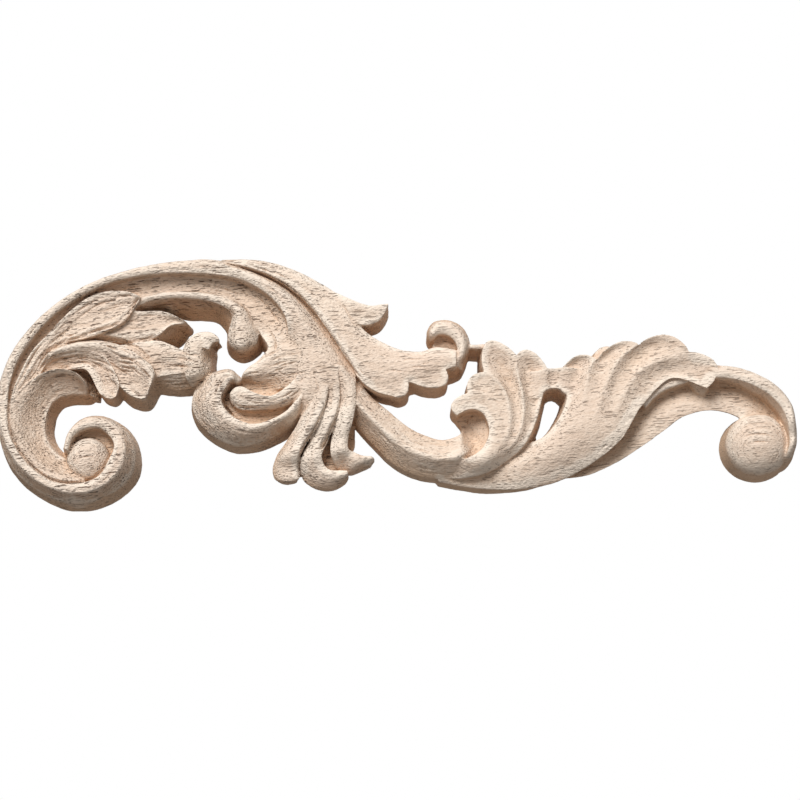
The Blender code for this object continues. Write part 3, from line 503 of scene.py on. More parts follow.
def on_board(x, y, height):
    """The board's X and Z, in metres, of a sheet point on wood that stands this high."""
    up = (SHEET_MIDDLE[1] - y) * SHEET_UNIT
    upright, lean = math.cos(SIGHT_TILT), math.sin(SIGHT_TILT)
    reach = up * (SIGHT_DISTANCE - height * upright) - height * lean * SIGHT_DISTANCE
    z = reach / (upright * SIGHT_DISTANCE - up * lean)
    depth = SIGHT_DISTANCE - height * upright + z * lean
    return (x - SHEET_MIDDLE[0]) * SHEET_UNIT * depth / SIGHT_DISTANCE, z


GLUE_X, GLUE_Z = on_board(*GLUE_POINT, 0)


def distance_along(path):
    """How far each point of a path is from its start."""
    return np.concatenate([[0], np.cumsum(np.linalg.norm(np.diff(path, axis=0), axis=1))])


def smooth_through(values, places, wanted):
    """A cubic curve through the values, which stand at the given places, read at the wanted places."""
    slopes = np.gradient(values, places, axis=0)
    spans = np.clip(np.searchsorted(places, wanted, side="right") - 1, 0, len(places) - 2)
    width = (places[spans + 1] - places[spans])[:, None]
    t = (wanted - places[spans])[:, None] / width
    return (
        (2 * t**3 - 3 * t**2 + 1) * values[spans]
        + (t**3 - 2 * t**2 + t) * width * slopes[spans]
        + (3 * t**2 - 2 * t**3) * values[spans + 1]
        + (t**3 - t**2) * width * slopes[spans + 1]
    )


def cross_line(points, profile, columns):
    """One cross line as rows of x, z and height, read at these shares of its way across."""
    heights = smooth_through(np.array(profile)[:, None] * MM, np.linspace(0, 1, len(profile)), columns)
    stops = np.linspace(0, 1, len(points))
    stop_heights = np.interp(stops, columns, heights[:, 0])
    placed = np.array([on_board(x, y, height) for (x, y), height in zip(points, stop_heights)])
    return np.hstack([smooth_through(placed, stops, columns), heights])


def lobed_points(notches, crests):
    """A lip that swells from notch to notch through the crests, as sheet points, one for each column."""
    points = []
    for start, crest, end in zip(notches, crests, notches[1:]):
        for t in np.arange(LOBE_COLUMNS) / LOBE_COLUMNS:
            swell = math.sin(math.pi * t) ** LOBE_ROUNDNESS
            points.append([a + (b - a) * t + (c - (a + b) / 2) * swell for a, c, b in zip(start, crest, end)])
    points.append(notches[-1])
    return points


def row_places(middles, places, rounding):
    """Distances along a stroke at which it gets a row: closer where it turns or an end is rounded."""
    start, end = rounding
    length = places[-1]
    fine = np.linspace(start, length - end, FINE_STEPS)
    steps = np.diff(smooth_through(middles, places, fine), axis=0)
    heading = np.unwrap(np.arctan2(steps[:, 1], steps[:, 0]))
    turned = np.concatenate([[0, 0], np.cumsum(np.abs(np.diff(heading)))])
    wear = (fine - start) / ROW_STEP + turned / ROW_TURN
    rows = np.interp(np.linspace(0, wear[-1], max(2, round(wear[-1]) + 1)), wear, fine)
    tip = 1 - np.cos(np.arange(TIP_ROWS) / TIP_ROWS * math.pi / 2)
    return np.concatenate([start * tip if start else [], rows, length - end * tip[::-1] if end else []])


def tip_width(places, length, rounding):
    """How wide the stroke is at each row, as a share of its full width: a half round at a rounded end."""
    share = np.ones(len(places))
    for distance, radius in zip((places, length - places), rounding):
        if radius:
            short = np.clip(1 - distance / radius, 0, 1)
            share = np.minimum(share, np.sqrt(1 - short**2))
    return np.maximum(share, LEAST_TIP_WIDTH)


def loft(lines, rounding):
    """The top of a stroke from its cross lines: rows of points, with each row's distance from the end."""
    middles = lines[:, :, :2].mean(axis=1)
    places = distance_along(middles)
    wanted = row_places(middles, places, rounding)
    rows = smooth_through(lines.reshape(len(lines), -1), places, wanted).reshape(len(wanted), -1, 3)
    share = tip_width(wanted, places[-1], rounding)[:, None, None]
    flat = rows[:, :, :2]
    centre = flat.mean(axis=1, keepdims=True)
    rows[:, :, :2] = centre + (flat - centre) * share
    shoulder = np.minimum(rows[:, :, 2], rows[:, [0, -1], 2].mean(axis=1)[:, None])
    rows[:, :, 2] = shoulder + (rows[:, :, 2] - shoulder) * share[:, :, 0]
    return rows, places[-1] - wanted


def read_lines(lines):
    """The sheet points and the heights of each cross line, where heights hold until a line gives others."""
    read, heights = [], None
    for line in lines:
        *numbers, last = line
        if isinstance(last, tuple):
            heights = last
        else:
            numbers.append(last)
        read.append((list(zip(numbers[::2], numbers[1::2])), heights))
    return read


def stroke_top(lines, rounding):
    """The carved top of a plain stroke, as rows of x, z and height."""
    lines = read_lines(lines)
    widest = max(math.dist(points[0], points[-1]) for points, _ in lines) * SHEET_UNIT
    count = max(max(len(heights) for _, heights in lines), round(widest / COLUMN_STEP) + 1)
    columns = np.linspace(0, 1, count)
    crossed = np.array([cross_line(*line, columns) for line in lines])
    rows, _ = loft(crossed, [length * SHEET_UNIT for length in rounding])
    return rows


def shell_top(lines, notches, crests, scoops):
    """The carved top of a shell: smooth at its root, then fluted up to the lip, ridged at each notch."""
    columns = np.linspace(0, 1, len(crests) * LOBE_COLUMNS + 1)
    crossed = [cross_line(*line, columns) for line in read_lines(lines)]
    crossed.append(cross_line(lobed_points(notches, crests), SHELL_LIP, columns))
    rows, from_lip = loft(np.array(crossed), (0, 0))
    hollow = np.abs(np.sin(math.pi * len(crests) * columns)) ** FLUTE_SHARPNESS
    swell = np.interp(from_lip / SHEET_UNIT, FLUTE_REACH, FLUTE_SHARE)
    lobes = np.minimum((columns * len(crests)).astype(int), len(crests) - 1)
    rows[:, :, 2] -= FLUTE_DEPTH * swell[:, None] * hollow * np.array(scoops)[lobes]
    return rows


def outward(loop):
    """Unit vectors that point out of a closed loop of x, z points."""
    ahead, behind = np.roll(loop, -1, axis=0) - loop, loop - np.roll(loop, 1, axis=0)
    along = ahead / np.linalg.norm(ahead, axis=1)[:, None] + behind / np.linalg.norm(behind, axis=1)[:, None]
    normal = np.stack([along[:, 1], -along[:, 0]], axis=1)
    normal /= np.linalg.norm(normal, axis=1)[:, None]
    x, z = loop.T
    return normal if (x * np.roll(z, -1) - np.roll(x, -1) * z).sum() > 0 else -normal


def carve_block(name, top, lean=SPREAD):
    """A closed block under a carved top, with walls that lean out or in on their way to behind the back.

    The free form is lofted in code, because no primitive or edit-mode tool gives its curves.
    """
    rows, columns = top.shape[:2]
    shape = bmesh.new()
    grid = [[shape.verts.new((x - GLUE_X, -height, z - GLUE_Z)) for x, z, height in row] for row in top]
    for row, after in zip(grid, grid[1:]):
        for c in range(columns - 1):
            shape.faces.new((row[c], row[c + 1], after[c + 1], after[c]))
    edge = (
        [(r, 0) for r in range(rows)]
        + [(rows - 1, c) for c in range(1, columns)]
        + [(r, columns - 1) for r in range(rows - 2, -1, -1)]
        + [(0, c) for c in range(columns - 2, 0, -1)]
    )
    rim = np.array([top[place] for place in edge])
    lean = np.interp([column for _, column in edge], (0, columns - 1), np.broadcast_to(lean, 2))[:, None]
    foot = rim[:, :2] + outward(rim[:, :2]) * rim[:, 2:] * lean
    below = {
        place: shape.verts.new((x - GLUE_X, BEHIND_BACK, z - GLUE_Z)) for place, (x, z) in zip(edge, foot)
    }
    for here, there in zip(edge, edge[1:] + edge[:1]):
        shape.faces.new((grid[here[0]][here[1]], grid[there[0]][there[1]], below[there], below[here]))
    last_row, last_column = rows - 1, columns - 1
    for r in range(last_row):
        sides = [below[r, 0], below[r + 1, 0]]
        if r + 1 == last_row:
            sides += [below[last_row, c] for c in range(1, last_column)]
        sides += [below[r + 1, last_column], below[r, last_column]]
        if r == 0:
            sides += [below[0, c] for c in range(last_column - 1, 0, -1)]
        shape.faces.new(sides)
    bmesh.ops.recalc_face_normals(shape, faces=shape.faces)
    mesh = bpy.data.meshes.new(name)
    shape.to_mesh(mesh)
    shape.free()
    block = bpy.data.objects.new(name, mesh)
    bpy.context.collection.objects.link(block)
    return block


def turn_eye(name, x, y, half_width, half_height, crown, shoulder):
    """A round knob: an oval ball that crowns a cone, which spreads down to behind the back."""
    crown, shoulder = crown * MM, shoulder * MM
    middle_x, middle_z = on_board(x, y, (crown + shoulder) / 2)
    across = half_width * SHEET_UNIT
    tall = half_height * SHEET_UNIT / math.cos(SIGHT_TILT)
    place = (middle_x - GLUE_X, -shoulder, middle_z - GLUE_Z)
    facing_front = (math.pi / 2, 0, 0)
    bpy.ops.mesh.primitive_uv_sphere_add(
        segments=EYE_SEGMENTS, ring_count=EYE_RINGS, radius=1, location=place, rotation=facing_front,
        scale=(across, tall, crown - shoulder),
    )
    ball = bpy.context.active_object
    ball.name = name + "_ball"
    for point in ball.data.vertices:
        point.co.z = math.copysign(abs(point.co.z) ** EYE_FLATNESS, point.co.z)
    height = shoulder + BEHIND_BACK
    bpy.ops.mesh.primitive_cone_add(
        vertices=EYE_SEGMENTS, radius1=1 + height * SPREAD / across, radius2=1, depth=1,
        location=(place[0], (BEHIND_BACK - shoulder) / 2, place[2]), rotation=facing_front,
        scale=(across, tall, height),
    )
    side = bpy.context.active_object
    side.name = name + "_side"
    return [ball, side]


def deselect_all():
    for thing in bpy.context.selected_objects:
        thing.select_set(False)


def select_only(*things):
    deselect_all()
    for thing in things:
        thing.select_set(True)
    bpy.context.view_layer.objects.active = things[0]


def rough_out():
    """Every stroke, shell and eye, joined into one object of overlapping blocks."""
    deselect_all()
    blocks = []
    for name, lines, rounding, *lean in STROKES:
        blocks.append(carve_block(name, stroke_top(lines, rounding), *lean))
    blocks += [carve_block(name, shell_top(*shape), lean) for name, *shape, lean in SHELLS]
    for boss in BOSSES:
        blocks += turn_eye(*boss)
    select_only(*blocks)
    bpy.ops.object.join()
    bpy.ops.object.transform_apply(location=True, rotation=True, scale=True)
    return bpy.context.active_object


def apply_modifier(piece, kind, **settings):
    modifier = piece.modifiers.new(kind.lower(), kind)
    for name, value in settings.items():
        setattr(modifier, name, value)
    bpy.ops.object.modifier_apply(modifier=modifier.name)


def tool_marks(piece, name, size, depth):
    """Pushes the surface in and out by a soft cloud of dents of this size."""
    texture = bpy.data.textures.new(name, "CLOUDS")
    texture.noise_scale = size
    texture.noise_depth = 1
    apply_modifier(piece, "DISPLACE", texture=texture, strength=depth, mid_level=0.5, texture_coords="LOCAL")


def on_sheet(points):
    """The sheet x and y at which points of the piece are drawn."""
    x, up = points[:, 0] + GLUE_X, points[:, 2] + GLUE_Z
    upright, lean = math.cos(SIGHT_TILT), math.sin(SIGHT_TILT)
    depth = SIGHT_DISTANCE + points[:, 1] * upright + up * lean
    drawn = np.stack([x, points[:, 1] * lean - up * upright], axis=1) * SIGHT_DISTANCE / depth[:, None]
    return drawn / SHEET_UNIT + SHEET_MIDDLE


def groove_share(across, kind):
    """How much of a cut's depth it has at these signed distances from its line, in half widths."""
    inside = np.clip(1 - np.abs(across), 0, 1)
    if kind == "vee":
        return inside
    if kind == "hollow":
        return inside**2 * (3 - 2 * inside)
    return np.clip(across * STEP_STEEPNESS + 0.5, 0, 1) * inside**STEP_FADE


def cut_into(points, facing, sheet, kind, path):
    """Moves the points under one cut's path towards the back, as far as they face the front."""
    stops = np.array(path, dtype=float)
    reach = distance_along(stops[:, :2])
    samples = smooth_through(stops, reach, np.linspace(0, reach[-1], max(2, round(reach[-1]))))
    widest = stops[:, 2].max()
    low, high = samples[:, :2].min(axis=0) - widest, samples[:, :2].max(axis=0) + widest
    near = np.flatnonzero(((sheet > low) & (sheet < high)).all(axis=1))
    apart = sheet[near][:, None, :] - samples[None, :, :2]
    nearest = np.argmin((apart**2).sum(axis=2), axis=1)
    heading = np.gradient(samples[:, :2], axis=0)
    heading /= np.linalg.norm(heading, axis=1)[:, None]
    offset, ahead = apart[np.arange(len(near)), nearest], heading[nearest]
    side = ahead[:, 0] * offset[:, 1] - ahead[:, 1] * offset[:, 0]
    beyond = np.abs((offset * ahead).sum(axis=1))
    distance = np.sign(side) * np.hypot(side, beyond)
    share = groove_share(distance / samples[nearest, 2], kind)
    points[near, 1] += samples[nearest, 3] * MM * share * facing[near]


def lined_paths():
    """The cuts of the long gouge lines: each follows its stroke at one place across, for part of its way."""
    shuffle = random.Random(LINE_SEED)
    strokes = {name: stroke_top(lines, rounding) for name, lines, rounding, *_ in STROKES}
    for name, count, shortest, longest, depth in LINED:
        rows = strokes[name]
        for _ in range(count):
            across = shuffle.uniform(*LINE_PLACES) * (rows.shape[1] - 1)
            column = int(across)
            track = rows[:, column] + (rows[:, column + 1] - rows[:, column]) * (across - column)
            track = np.stack([track[:, 0] - GLUE_X, -track[:, 2], track[:, 1] - GLUE_Z], axis=1)
            sheet = on_sheet(track)
            along = distance_along(sheet)
            length = min(shuffle.uniform(shortest, longest), along[-1] * LINE_LONGEST)
            start = shuffle.uniform(0, along[-1] - length)
            deepest = depth * shuffle.uniform(LINE_SHALLOWEST, 1)
            path = []
            for share, sunk in LINE_SHAPE:
                x, y = (np.interp(start + share * length, along, sheet[:, axis]) for axis in (0, 1))
                path.append((x, y, LINE_HALF_WIDTH, deepest * sunk))
            yield "vee", path


def points_and_normals(mesh):
    points, normals = np.empty(len(mesh.vertices) * 3), np.empty(len(mesh.vertices) * 3)
    mesh.vertices.foreach_get("co", points)
    mesh.vertex_normals.foreach_get("vector", normals)
    return points.reshape(-1, 3), normals.reshape(-1, 3)


def move_points(mesh, points):
    mesh.vertices.foreach_set("co", points.ravel())
    mesh.update()


def cut_grooves(piece):
    """Cuts the fine grooves, hollows and steps of the sheet into the front of the piece."""
    points, normals = points_and_normals(piece.data)
    facing = np.clip(-normals[:, 1] * CUT_GAIN - CUT_LOSS, 0, 1)
    sheet = on_sheet(points)
    for kind, path in [*CUTS.values(), *lined_paths()]:
        cut_into(points, facing, sheet, kind, path)
    move_points(piece.data, points)


def keep_in_frame(piece):
    """Holds the surface inside the box of the solid that it stands for."""
    points, _ = points_and_normals(piece.data)
    move_points(piece.data, np.clip(points, *FRAME_BOX))


def blur(grid, radius):
    """The grid softened by a bell curve of this radius in cells."""
    steps = np.arange(-3 * radius, 3 * radius + 1)
    bell = np.exp(-((steps / radius) ** 2) / 2)
    for axis in (0, 1):
        grid = np.apply_along_axis(np.convolve, axis, grid, bell / bell.sum(), mode="same")
    return grid


def note(piece, name, values):
    piece.data.attributes.new(name, "FLOAT", "POINT").data.foreach_set("value", values)


def mark_shade_and_edges(piece):
    """Notes at each point how far it lies in a hollow, stands out as an edge and is steep, for painted shade
    in hollows and on walls and a painted highlight on worn edges.
    """
    points, normals = points_and_normals(piece.data)
    height, steep = -points[:, 1], 1 + normals[:, 1]
    low = points.min(axis=0)
    cells = ((points - low)[:, [0, 2]] / MASK_CELL).astype(int) + MASK_MARGIN
    cells = (cells[:, 0], cells[:, 1])
    shape = [rows.max() + MASK_MARGIN for rows in cells]
    total, weight = np.zeros(shape), np.zeros(shape)
    front = np.clip(-normals[:, 1], 0, 1)
    np.add.at(total, cells, height * front)
    np.add.at(weight, cells, front)
    facing = np.clip(MASK_ON_WALLS - MASK_GAIN * normals[:, 1], 0, 1)
    for name, radius, span in SHADE_AND_EDGE_MASKS:
        around = (blur(total, radius) / np.maximum(blur(weight, radius), LEAST_WEIGHT))[cells]
        note(piece, name, np.clip((height - around) / span, 0, 1) * facing)
    note(piece, "wall", np.clip((steep - WALL_SHADE_START) / WALL_SHADE_SPAN, 0, 1) * np.clip(2 - steep, 0, 1))


def place(tree, kind, inputs=None, **settings):
    """Adds a shader node, sets it up, and links or fills its inputs."""
    made = tree.nodes.new("ShaderNode" + kind)
    for name, value in settings.items():
        setattr(made, name, value)
    for name, value in (inputs or {}).items():
        if isinstance(value, bpy.types.NodeSocket):
            tree.links.new(value, made.inputs[name])
        else:
            made.inputs[name].default_value = value
    return made


def calc(tree, operation, *values, kind="Math"):
    """The result of a sum on sockets or numbers."""
    made = place(tree, kind, dict(enumerate(values)), operation=operation)
    return made.outputs["Value" if operation == "DOT_PRODUCT" else 0]


def ramp(tree, value, start, full, low=0.0, high=1.0, **settings):
    """Runs from low to high while the value runs from start to full, and stops there."""
    ends = {"From Min": start, "From Max": full, "To Min": low, "To Max": high}
    return place(tree, "MapRange", {"Value": value, **ends}, **settings).outputs[0]


def noise(tree, vector, scale, detail, roughness=0.5):
    inputs = {"Vector": vector, "Scale": scale, "Detail": detail, "Roughness": roughness}
    return place(tree, "TexNoise", inputs)


def blend(tree, share, below, colour):
    """Lays this colour over the one below, by this share."""
    return place(tree, "Mix", {0: share, 6: below, 7: (*colour, 1)}, data_type="RGBA").outputs[2]


def new_group(name, inputs, outputs):
    """A node group, the sockets that bring its inputs in and those that take its outputs."""
    group = bpy.data.node_groups.new(name, "ShaderNodeTree")
    for label, kind, *default in inputs:
        socket = group.interface.new_socket(label, in_out="INPUT", socket_type="NodeSocket" + kind)
        if default:
            socket.default_value = default[0]
    for label in outputs:
        group.interface.new_socket(label, in_out="OUTPUT", socket_type="NodeSocketFloat")
    return group, group.nodes.new("NodeGroupInput").outputs, group.nodes.new("NodeGroupOutput").inputs


def pore_group():
    """Open pores: short dark dashes along the grain, in clusters, or dots where the grain is cut across."""
    group, given, result = new_group("open pores", [
        ("Vector", "Vector"), ("Spacing", "Float", 0.5), ("Stretch", "Float", 5.5),
        ("Width", "Float", 0.3), ("Cluster Size", "Float", 9.0), ("Bareness", "Float", 0.4),
    ], ["Pores"])
    vector = given["Vector"]
    wobble = noise(group, vector, WOBBLE_SCALE, 2.0).outputs["Color"]
    bend = calc(group, "SUBTRACT", wobble, (0.5, 0.5, 0.5), kind="VectorMath")
    bent = calc(group, "MULTIPLY_ADD", bend, (WOBBLE,) * 3, vector, kind="VectorMath")
    along = calc(group, "DIVIDE", 1.0, given["Stretch"])
    squeeze = place(group, "CombineXYZ", {"X": along, "Y": 1.0, "Z": 1.0}).outputs[0]
    cells = calc(group, "MULTIPLY", bent, squeeze, kind="VectorMath")
    density = calc(group, "DIVIDE", 1.0, given["Spacing"])
    near = place(group, "TexVoronoi", {"Vector": cells, "Scale": density}).outputs["Distance"]
    cluster = noise(group, vector, calc(group, "DIVIDE", 1.0, given["Cluster Size"]), 3.0, 0.6).outputs["Fac"]
    crowded = calc(group, "ADD", given["Bareness"], CLUSTER_FADE)
    reach = ramp(group, cluster, given["Bareness"], crowded, LEAST_PORE)
    radius = calc(group, "MULTIPLY", reach, given["Width"])
    core = calc(group, "MULTIPLY", radius, PORE_CORE)
    pores = ramp(group, near, core, radius, 1.0, 0.0, interpolation_type="SMOOTHSTEP")
    group.links.new(pores, result["Pores"])
    return group


def figure_group():
    """The wood's own colour changes: long soft streaks, broad clouds, fine fibres and fuzz."""
    group, given, result = new_group("wood figure", [("Vector", "Vector")], FIGURE)
    for label, (stretch, scale, detail) in FIGURE.items():
        drawn = calc(group, "MULTIPLY", given["Vector"], stretch, kind="VectorMath")
        group.links.new(noise(group, drawn, scale, detail).outputs["Fac"], result[label])
    return group


def layer_group():
    """Growth layers: thin wavy lines that follow the depth of the cut, close together on steep wood."""
    group, given, result = new_group("growth layers", [
        ("Vector", "Vector"), ("Spacing", "Float", 1.0), ("Waviness", "Float", 1.5),
    ], ["Lines"])
    vector = given["Vector"]
    drawn = calc(group, "MULTIPLY", vector, LAYER_DRIFT, kind="VectorMath")
    drift = noise(group, drawn, 1.0, 3.0).outputs["Fac"]
    depth = calc(group, "DOT_PRODUCT", vector, LAYER_SLOPE, kind="VectorMath")
    wavy = calc(group, "MULTIPLY_ADD", drift, given["Waviness"], depth)
    fold = calc(group, "PINGPONG", calc(group, "DIVIDE", wavy, given["Spacing"]), 0.5)
    line = ramp(group, fold, 0.0, LAYER_WIDTH, 1.0, 0.0, interpolation_type="SMOOTHSTEP")
    shown = ramp(group, noise(group, vector, LAYER_PATCHES, 2.0).outputs["Fac"], *LAYER_SHOWN)
    group.links.new(calc(group, "MULTIPLY", line, shown), result["Lines"])
    return group


def wood_material(wood):
    """Bare pale wood: beige and pinkish beige, streaked along the grain, with dark open pores, painted shade
    on walls and in hollows, and paler worn edges with a painted highlight.
    """
    material = bpy.data.materials.new("bare_pale_wood")
    material.use_nodes = True
    tree = material.node_tree
    tree.nodes.clear()
    where = place(tree, "TexCoord").outputs["Object"]
    turn, scale = (0, wood.grain_tilt, 0), (1 / MM, 1 / MM, 1 / MM)
    grain = place(tree, "Mapping", {"Vector": where, "Rotation": turn, "Scale": scale}).outputs[0]
    pore_tree = pore_group()
    layers = []
    for spacing, stretch, width, cluster, bareness, strength in PORE_LAYERS:
        layer = place(tree, "Group", node_tree=pore_tree, inputs={
            "Vector": grain, "Spacing": wood.pore_spacing * spacing / MM, "Stretch": stretch,
            "Width": wood.pore_width * width, "Cluster Size": cluster, "Bareness": bareness,
        })
        layers.append(calc(tree, "MULTIPLY", layer.outputs[0], strength))
    open_pores = calc(tree, "MAXIMUM", calc(tree, "MAXIMUM", *layers[:2]), layers[2])
    figure = place(tree, "Group", {"Vector": grain}, node_tree=figure_group()).outputs
    spacing = {"Vector": grain, "Spacing": wood.layer_spacing / MM}
    rings = place(tree, "Group", spacing, node_tree=layer_group()).outputs["Lines"]
    fuzz = ramp(tree, figure["Fuzz"], *FUZZ_RANGE)
    # The wall and hollow masks lay painted shade on steep walls and in hollows; the edge mask lays paler worn
    # wood that also paints a highlight.
    wall, hollow, edge = (
        place(tree, "Attribute", attribute_name=name).outputs["Fac"] for name in ("wall", "hollow", "edge")
    )
    clouds = ramp(tree, figure["Clouds"], *CLOUD_RANGE)
    colour = blend(tree, clouds, (*wood.light_colour, 1), wood.warm_colour)
    streaks = ramp(tree, figure["Streaks"], *STREAK_RANGE, 0.0, STREAK_SHARE)
    colour = blend(tree, streaks, colour, wood.streak_colour)
    for amount, share, shade in (
        (rings, RING_SHARE, wood.streak_colour), (fuzz, FUZZ_SHARE, wood.streak_colour),
        (wall, WALL_SHADE_SHARE, wood.wall_shade_colour), (hollow, HOLLOW_SHADE_SHARE, wood.hollow_shade_colour),
        (edge, EDGE_WEAR_AND_HIGHLIGHT_SHARE, wood.edge_wear_and_highlight_colour),
    ):
        colour = blend(tree, calc(tree, "MULTIPLY", amount, share), colour, shade)
    low, high = FRAME_BOX
    along = place(tree, "SeparateXYZ", {"Vector": where}).outputs["X"]
    strongest, weakest = wood.pore_darkness, wood.pore_darkness * FAINT_SHARE
    clarity = ramp(tree, along, low.x * CLEAR_END, high.x * FAINT_END, strongest, weakest)
    colour = blend(tree, calc(tree, "MULTIPLY", open_pores, clarity), colour, wood.pore_colour)
    height = calc(tree, "MULTIPLY", figure["Fibres"], FIBRE_HEIGHT)
    height = calc(tree, "MULTIPLY_ADD", figure["Fuzz"], FUZZ_HEIGHT, height)
    height = calc(tree, "MULTIPLY_ADD", rings, RING_HEIGHT, height)
    height = calc(tree, "MULTIPLY", calc(tree, "SUBTRACT", height, open_pores), clarity)
    bump = place(tree, "Bump", {"Strength": 1.0, "Distance": wood.pore_depth, "Height": height})
    smooth, dull = wood.roughness - SHEEN_CHANGE, wood.roughness + SHEEN_CHANGE
    sheen = ramp(tree, figure["Fibres"], *SHEEN_RANGE, smooth, dull)
    surface = {"Base Color": colour, "Normal": bump.outputs[0], "Roughness": sheen}
    shader = place(tree, "BsdfPrincipled", surface)
    place(tree, "OutputMaterial", {"Surface": shader.outputs[0]})
    return material


def area_light(name, position, width, height, power):
    """A soft rectangular light that looks at the piece."""
    deselect_all()
    bpy.ops.object.light_add(type="AREA", location=position)
    light = bpy.context.active_object
    light.name = name
    light.data.shape = "RECTANGLE"
    light.data.size = width
    light.data.size_y = height
    light.data.energy = power
    light.data.color = LAMP_COLOUR
    light.rotation_euler = (-Vector(position)).to_track_quat("-Z", "Y").to_euler()


def floor_material(colour, glow):
    """A matt pale floor that glows a little, so that it stays pale away from the lights."""
    material = bpy.data.materials.new("pale_floor")
    material.use_nodes = True
    shader = material.node_tree.nodes["Principled BSDF"]
    shader.inputs["Base Color"].default_value = (*colour, 1)
    shader.inputs["Roughness"].default_value = FLOOR_ROUGHNESS
    shader.inputs["Emission Color"].default_value = (*colour, 1)
    shader.inputs["Emission Strength"].default_value = glow
    return material


def studio_world(fill):
    """A white ground behind the piece, and a dimmer glow on it, so that its hollows stay dark."""
    world = bpy.data.worlds.new("studio")
    bpy.context.scene.world = world
    world.use_nodes = True
    tree = world.node_tree
    tree.nodes.clear()
    path = place(tree, "LightPath").outputs["Is Camera Ray"]
    glow = place(tree, "Background", {"Color": (*FILL_COLOUR, 1), "Strength": fill}).outputs[0]
    ground = place(tree, "Background", {"Color": (1, 1, 1, 1), "Strength": 1.0}).outputs[0]
    either = place(tree, "MixShader", {0: path, 1: glow, 2: ground})
    place(tree, "OutputWorld", {"Surface": either.outputs[0]})


def photo_camera():
    """A camera at the reader's place in front of the pattern sheet, a little below it and looking up."""
    look = Vector((0, math.cos(SIGHT_TILT), math.sin(SIGHT_TILT)))
    position = Vector((-GLUE_X, 0, -GLUE_Z)) - SIGHT_DISTANCE * look
    bpy.ops.object.camera_add(location=position, rotation=look.to_track_quat("-Z", "Y").to_euler())
    camera = bpy.context.active_object
    camera.data.sensor_width = SENSOR_WIDTH
    camera.data.lens = SENSOR_WIDTH * SIGHT_DISTANCE / (SHEET_SIZE * SHEET_UNIT)
    bpy.context.scene.camera = camera


def number_field(name, description, default, **settings):
    return bpy.props.FloatProperty(name=name, description=description, default=default, min=0, **settings)


def count_field(name, description, default, least=0):
    return bpy.props.IntProperty(name=name, description=description, default=default, min=least)


def share_field(name, description, default):
    return number_field(name, description, default, max=1, subtype="FACTOR")


def length_field(name, description, default):
    return number_field(name, description, default, unit="LENGTH", precision=5)


def colour_field(name, description, default):
    return bpy.props.FloatVectorProperty(
        name=name, description=description, default=default, min=0, max=1, subtype="COLOR")


class CarvingSettings(bpy.types.PropertyGroup):
    voxel: length_field("Finest form", "The smallest form that the carved surface keeps", 0.22 * MM)
    softness: count_field("Softness", "How many times the edges are eased", 1)
    mark_size: length_field("Tool mark size", "How broad the marks of the cutter are", 3.2 * MM)
    mark_depth: length_field("Tool mark depth", "How far the marks rise and fall", 0.16 * MM)
    chatter_size: length_field("Chatter size", "How broad the fine roughness is", 0.9 * MM)
    chatter_depth: length_field("Chatter depth", "How far the fine roughness rises and falls", 0.09 * MM)
    most_triangles: count_field("Most triangles", "The carving is thinned to this many", 190000, 1000)


class WoodSettings(bpy.types.PropertyGroup):
    light_colour: colour_field("Light wood", "The palest wood", (0.80, 0.685, 0.58))
    warm_colour: colour_field("Warm wood", "The pinkish wood between", (0.76, 0.62, 0.52))
    streak_colour: colour_field("Streaks", "The darker streaks along the grain", (0.56, 0.42, 0.32))
    # Hollows: painted shade, a darker warmer brown where shade and bounced light fall in deep hollows.
    hollow_shade_colour: colour_field("Hollows", "The warmer wood in deep hollows", (0.66, 0.42, 0.24))
    # Walls: painted shade, a browner tint on steep walls that stand in shade.
    wall_shade_colour: colour_field("Walls", "The browner wood of steep walls", (0.52, 0.31, 0.17))
    # Worn edges: paler worn wood that also paints a highlight along the edges.
    edge_wear_and_highlight_colour: colour_field("Worn edges", "The paler wood along edges", (0.86, 0.78, 0.69))
    pore_colour: colour_field("Pores", "The open pores", (0.12, 0.06, 0.032))
    roughness: share_field("Roughness", "How dull the bare wood is", 0.78)
    grain_tilt: bpy.props.FloatProperty(
        name="Grain tilt", description="How far the grain is turned from the length of the piece",
        default=math.radians(4), subtype="ANGLE")
    layer_spacing: length_field("Layer spacing", "How far apart the growth layers lie", 1.1 * MM)
    pore_spacing: length_field("Pore spacing", "How far apart pores lie across the grain", 0.5 * MM)
    pore_width: share_field("Pore width", "A pore's half width as a share of the spacing", 0.36)
    pore_darkness: share_field("Pore darkness", "How strongly pores show where they are clearest", 0.95)
    pore_depth: length_field("Pore depth", "How deep the pores and fibres are cut", 0.34 * MM)


class StageSettings(bpy.types.PropertyGroup):
    floor_drop: length_field("Floor drop", "How far the floor lies below the piece", 0.30)
    floor_size: length_field("Floor size", "The width of the floor", 6.0)
    floor_colour: colour_field("Floor", "The pale floor", (0.86, 0.86, 0.85))
    floor_glow: number_field("Floor glow", "Light that the floor gives off itself", 0.5)
    key_power: number_field("Key light", "Main light", 17.5, unit="POWER")
    back_power: number_field("Back light", "Soft light on the back", 9, unit="POWER")
    fill: number_field("Fill", "Glow from all round", 0.32)


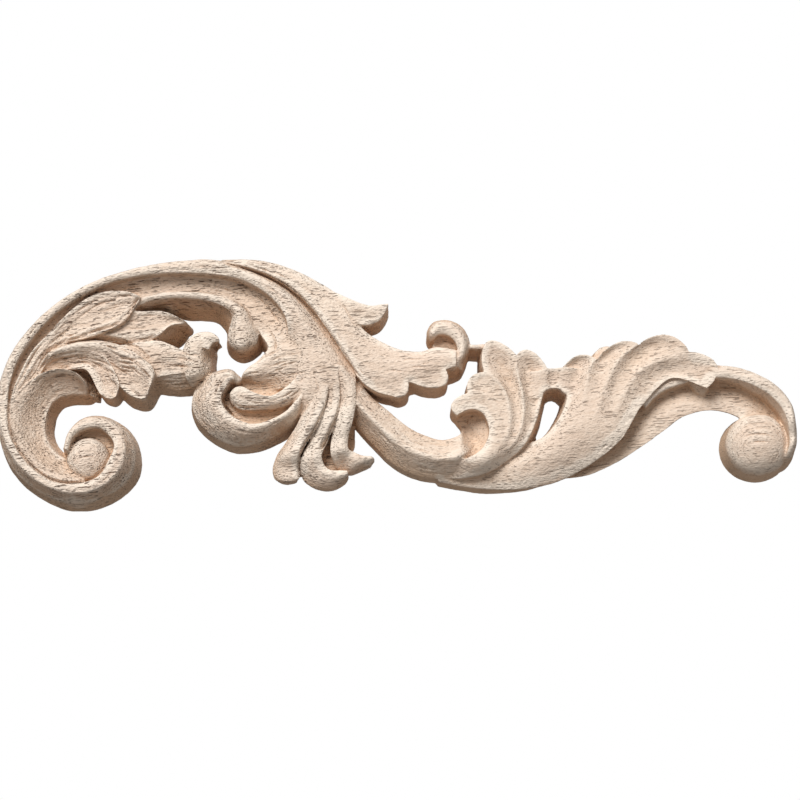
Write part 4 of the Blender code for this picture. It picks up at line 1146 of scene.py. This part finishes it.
class APPLIQUE_OT_carving(bpy.types.Operator):
    """Carve the applique: rough it out, ease it, mark it, saw its back flat and give it its wood"""

    bl_idname = "applique.carving"
    bl_label = "Carve the applique"

    def execute(self, context):
        carving = context.scene.applique_carving
        piece = rough_out()
        piece.name = piece.data.name = "scroll_carving"
        apply_modifier(piece, "REMESH", mode="VOXEL", voxel_size=carving.voxel)
        apply_modifier(piece, "SMOOTH", factor=EASE_FACTOR, iterations=carving.softness)
        cut_grooves(piece)
        tool_marks(piece, "cutter marks", carving.mark_size, carving.mark_depth)
        tool_marks(piece, "chatter", carving.chatter_size, carving.chatter_depth)
        keep_in_frame(piece)
        triangles = sum(len(face.vertices) - 2 for face in piece.data.polygons)
        apply_modifier(piece, "DECIMATE", ratio=min(1.0, carving.most_triangles / triangles))
        keep_in_frame(piece)
        mark_shade_and_edges(piece)
        bpy.ops.object.shade_smooth_by_angle(angle=SHARP_ANGLE)
        piece.data.materials.clear()
        piece.data.materials.append(wood_material(context.scene.applique_wood))
        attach(piece, "root")
        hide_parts(NODE)
        return {"FINISHED"}


class APPLIQUE_OT_stage(bpy.types.Operator):
    """Lay the pale floor, light it and set up the camera"""

    bl_idname = "applique.stage"
    bl_label = "Set the stage"

    def execute(self, context):
        stage = context.scene.applique_stage
        low, _ = FRAME_BOX
        deselect_all()
        bpy.ops.mesh.primitive_plane_add(size=stage.floor_size, location=(0, 0, low.z - stage.floor_drop))
        floor = context.active_object
        floor.name = "floor"
        bpy.ops.object.transform_apply(location=True, rotation=True, scale=True)
        floor.data.materials.append(floor_material(stage.floor_colour, stage.floor_glow))
        floor.visible_diffuse = False
        floor.visible_glossy = False
        area_light("key", KEY_PLACE, *KEY_SIZE, stage.key_power)
        area_light("back", BACK_PLACE, *BACK_SIZE, stage.back_power)
        studio_world(stage.fill)
        photo_camera()
        context.scene.view_settings.view_transform = "Standard"
        return {"FINISHED"}


class APPLIQUE_PT_panel(bpy.types.Panel):
    """Lists the steps that make the applique and its stage"""

    bl_label = "Applique"
    bl_idname = "APPLIQUE_PT_panel"
    bl_space_type = "VIEW_3D"
    bl_region_type = "UI"
    bl_category = "Applique"

    def draw(self, context):
        for group, settings in SETTINGS.items():
            for name in settings.__annotations__:
                self.layout.prop(getattr(context.scene, group), name)
        for step in STEPS:
            self.layout.operator(step.bl_idname)


SETTINGS = {
    "applique_carving": CarvingSettings,
    "applique_wood": WoodSettings,
    "applique_stage": StageSettings,
}
STEPS = (APPLIQUE_OT_carving, APPLIQUE_OT_stage)
CLASSES = (*SETTINGS.values(), *STEPS, APPLIQUE_PT_panel)


def register():
    for shown in CLASSES:
        bpy.utils.register_class(shown)
    for name, settings in SETTINGS.items():
        setattr(bpy.types.Scene, name, bpy.props.PointerProperty(type=settings))


def unregister():
    for name in SETTINGS:
        delattr(bpy.types.Scene, name)
    for shown in reversed(CLASSES):
        bpy.utils.unregister_class(shown)


def main():
    register()
    bpy.ops.applique.carving()
    bpy.ops.applique.stage()


if __name__ == "__main__":
    main()
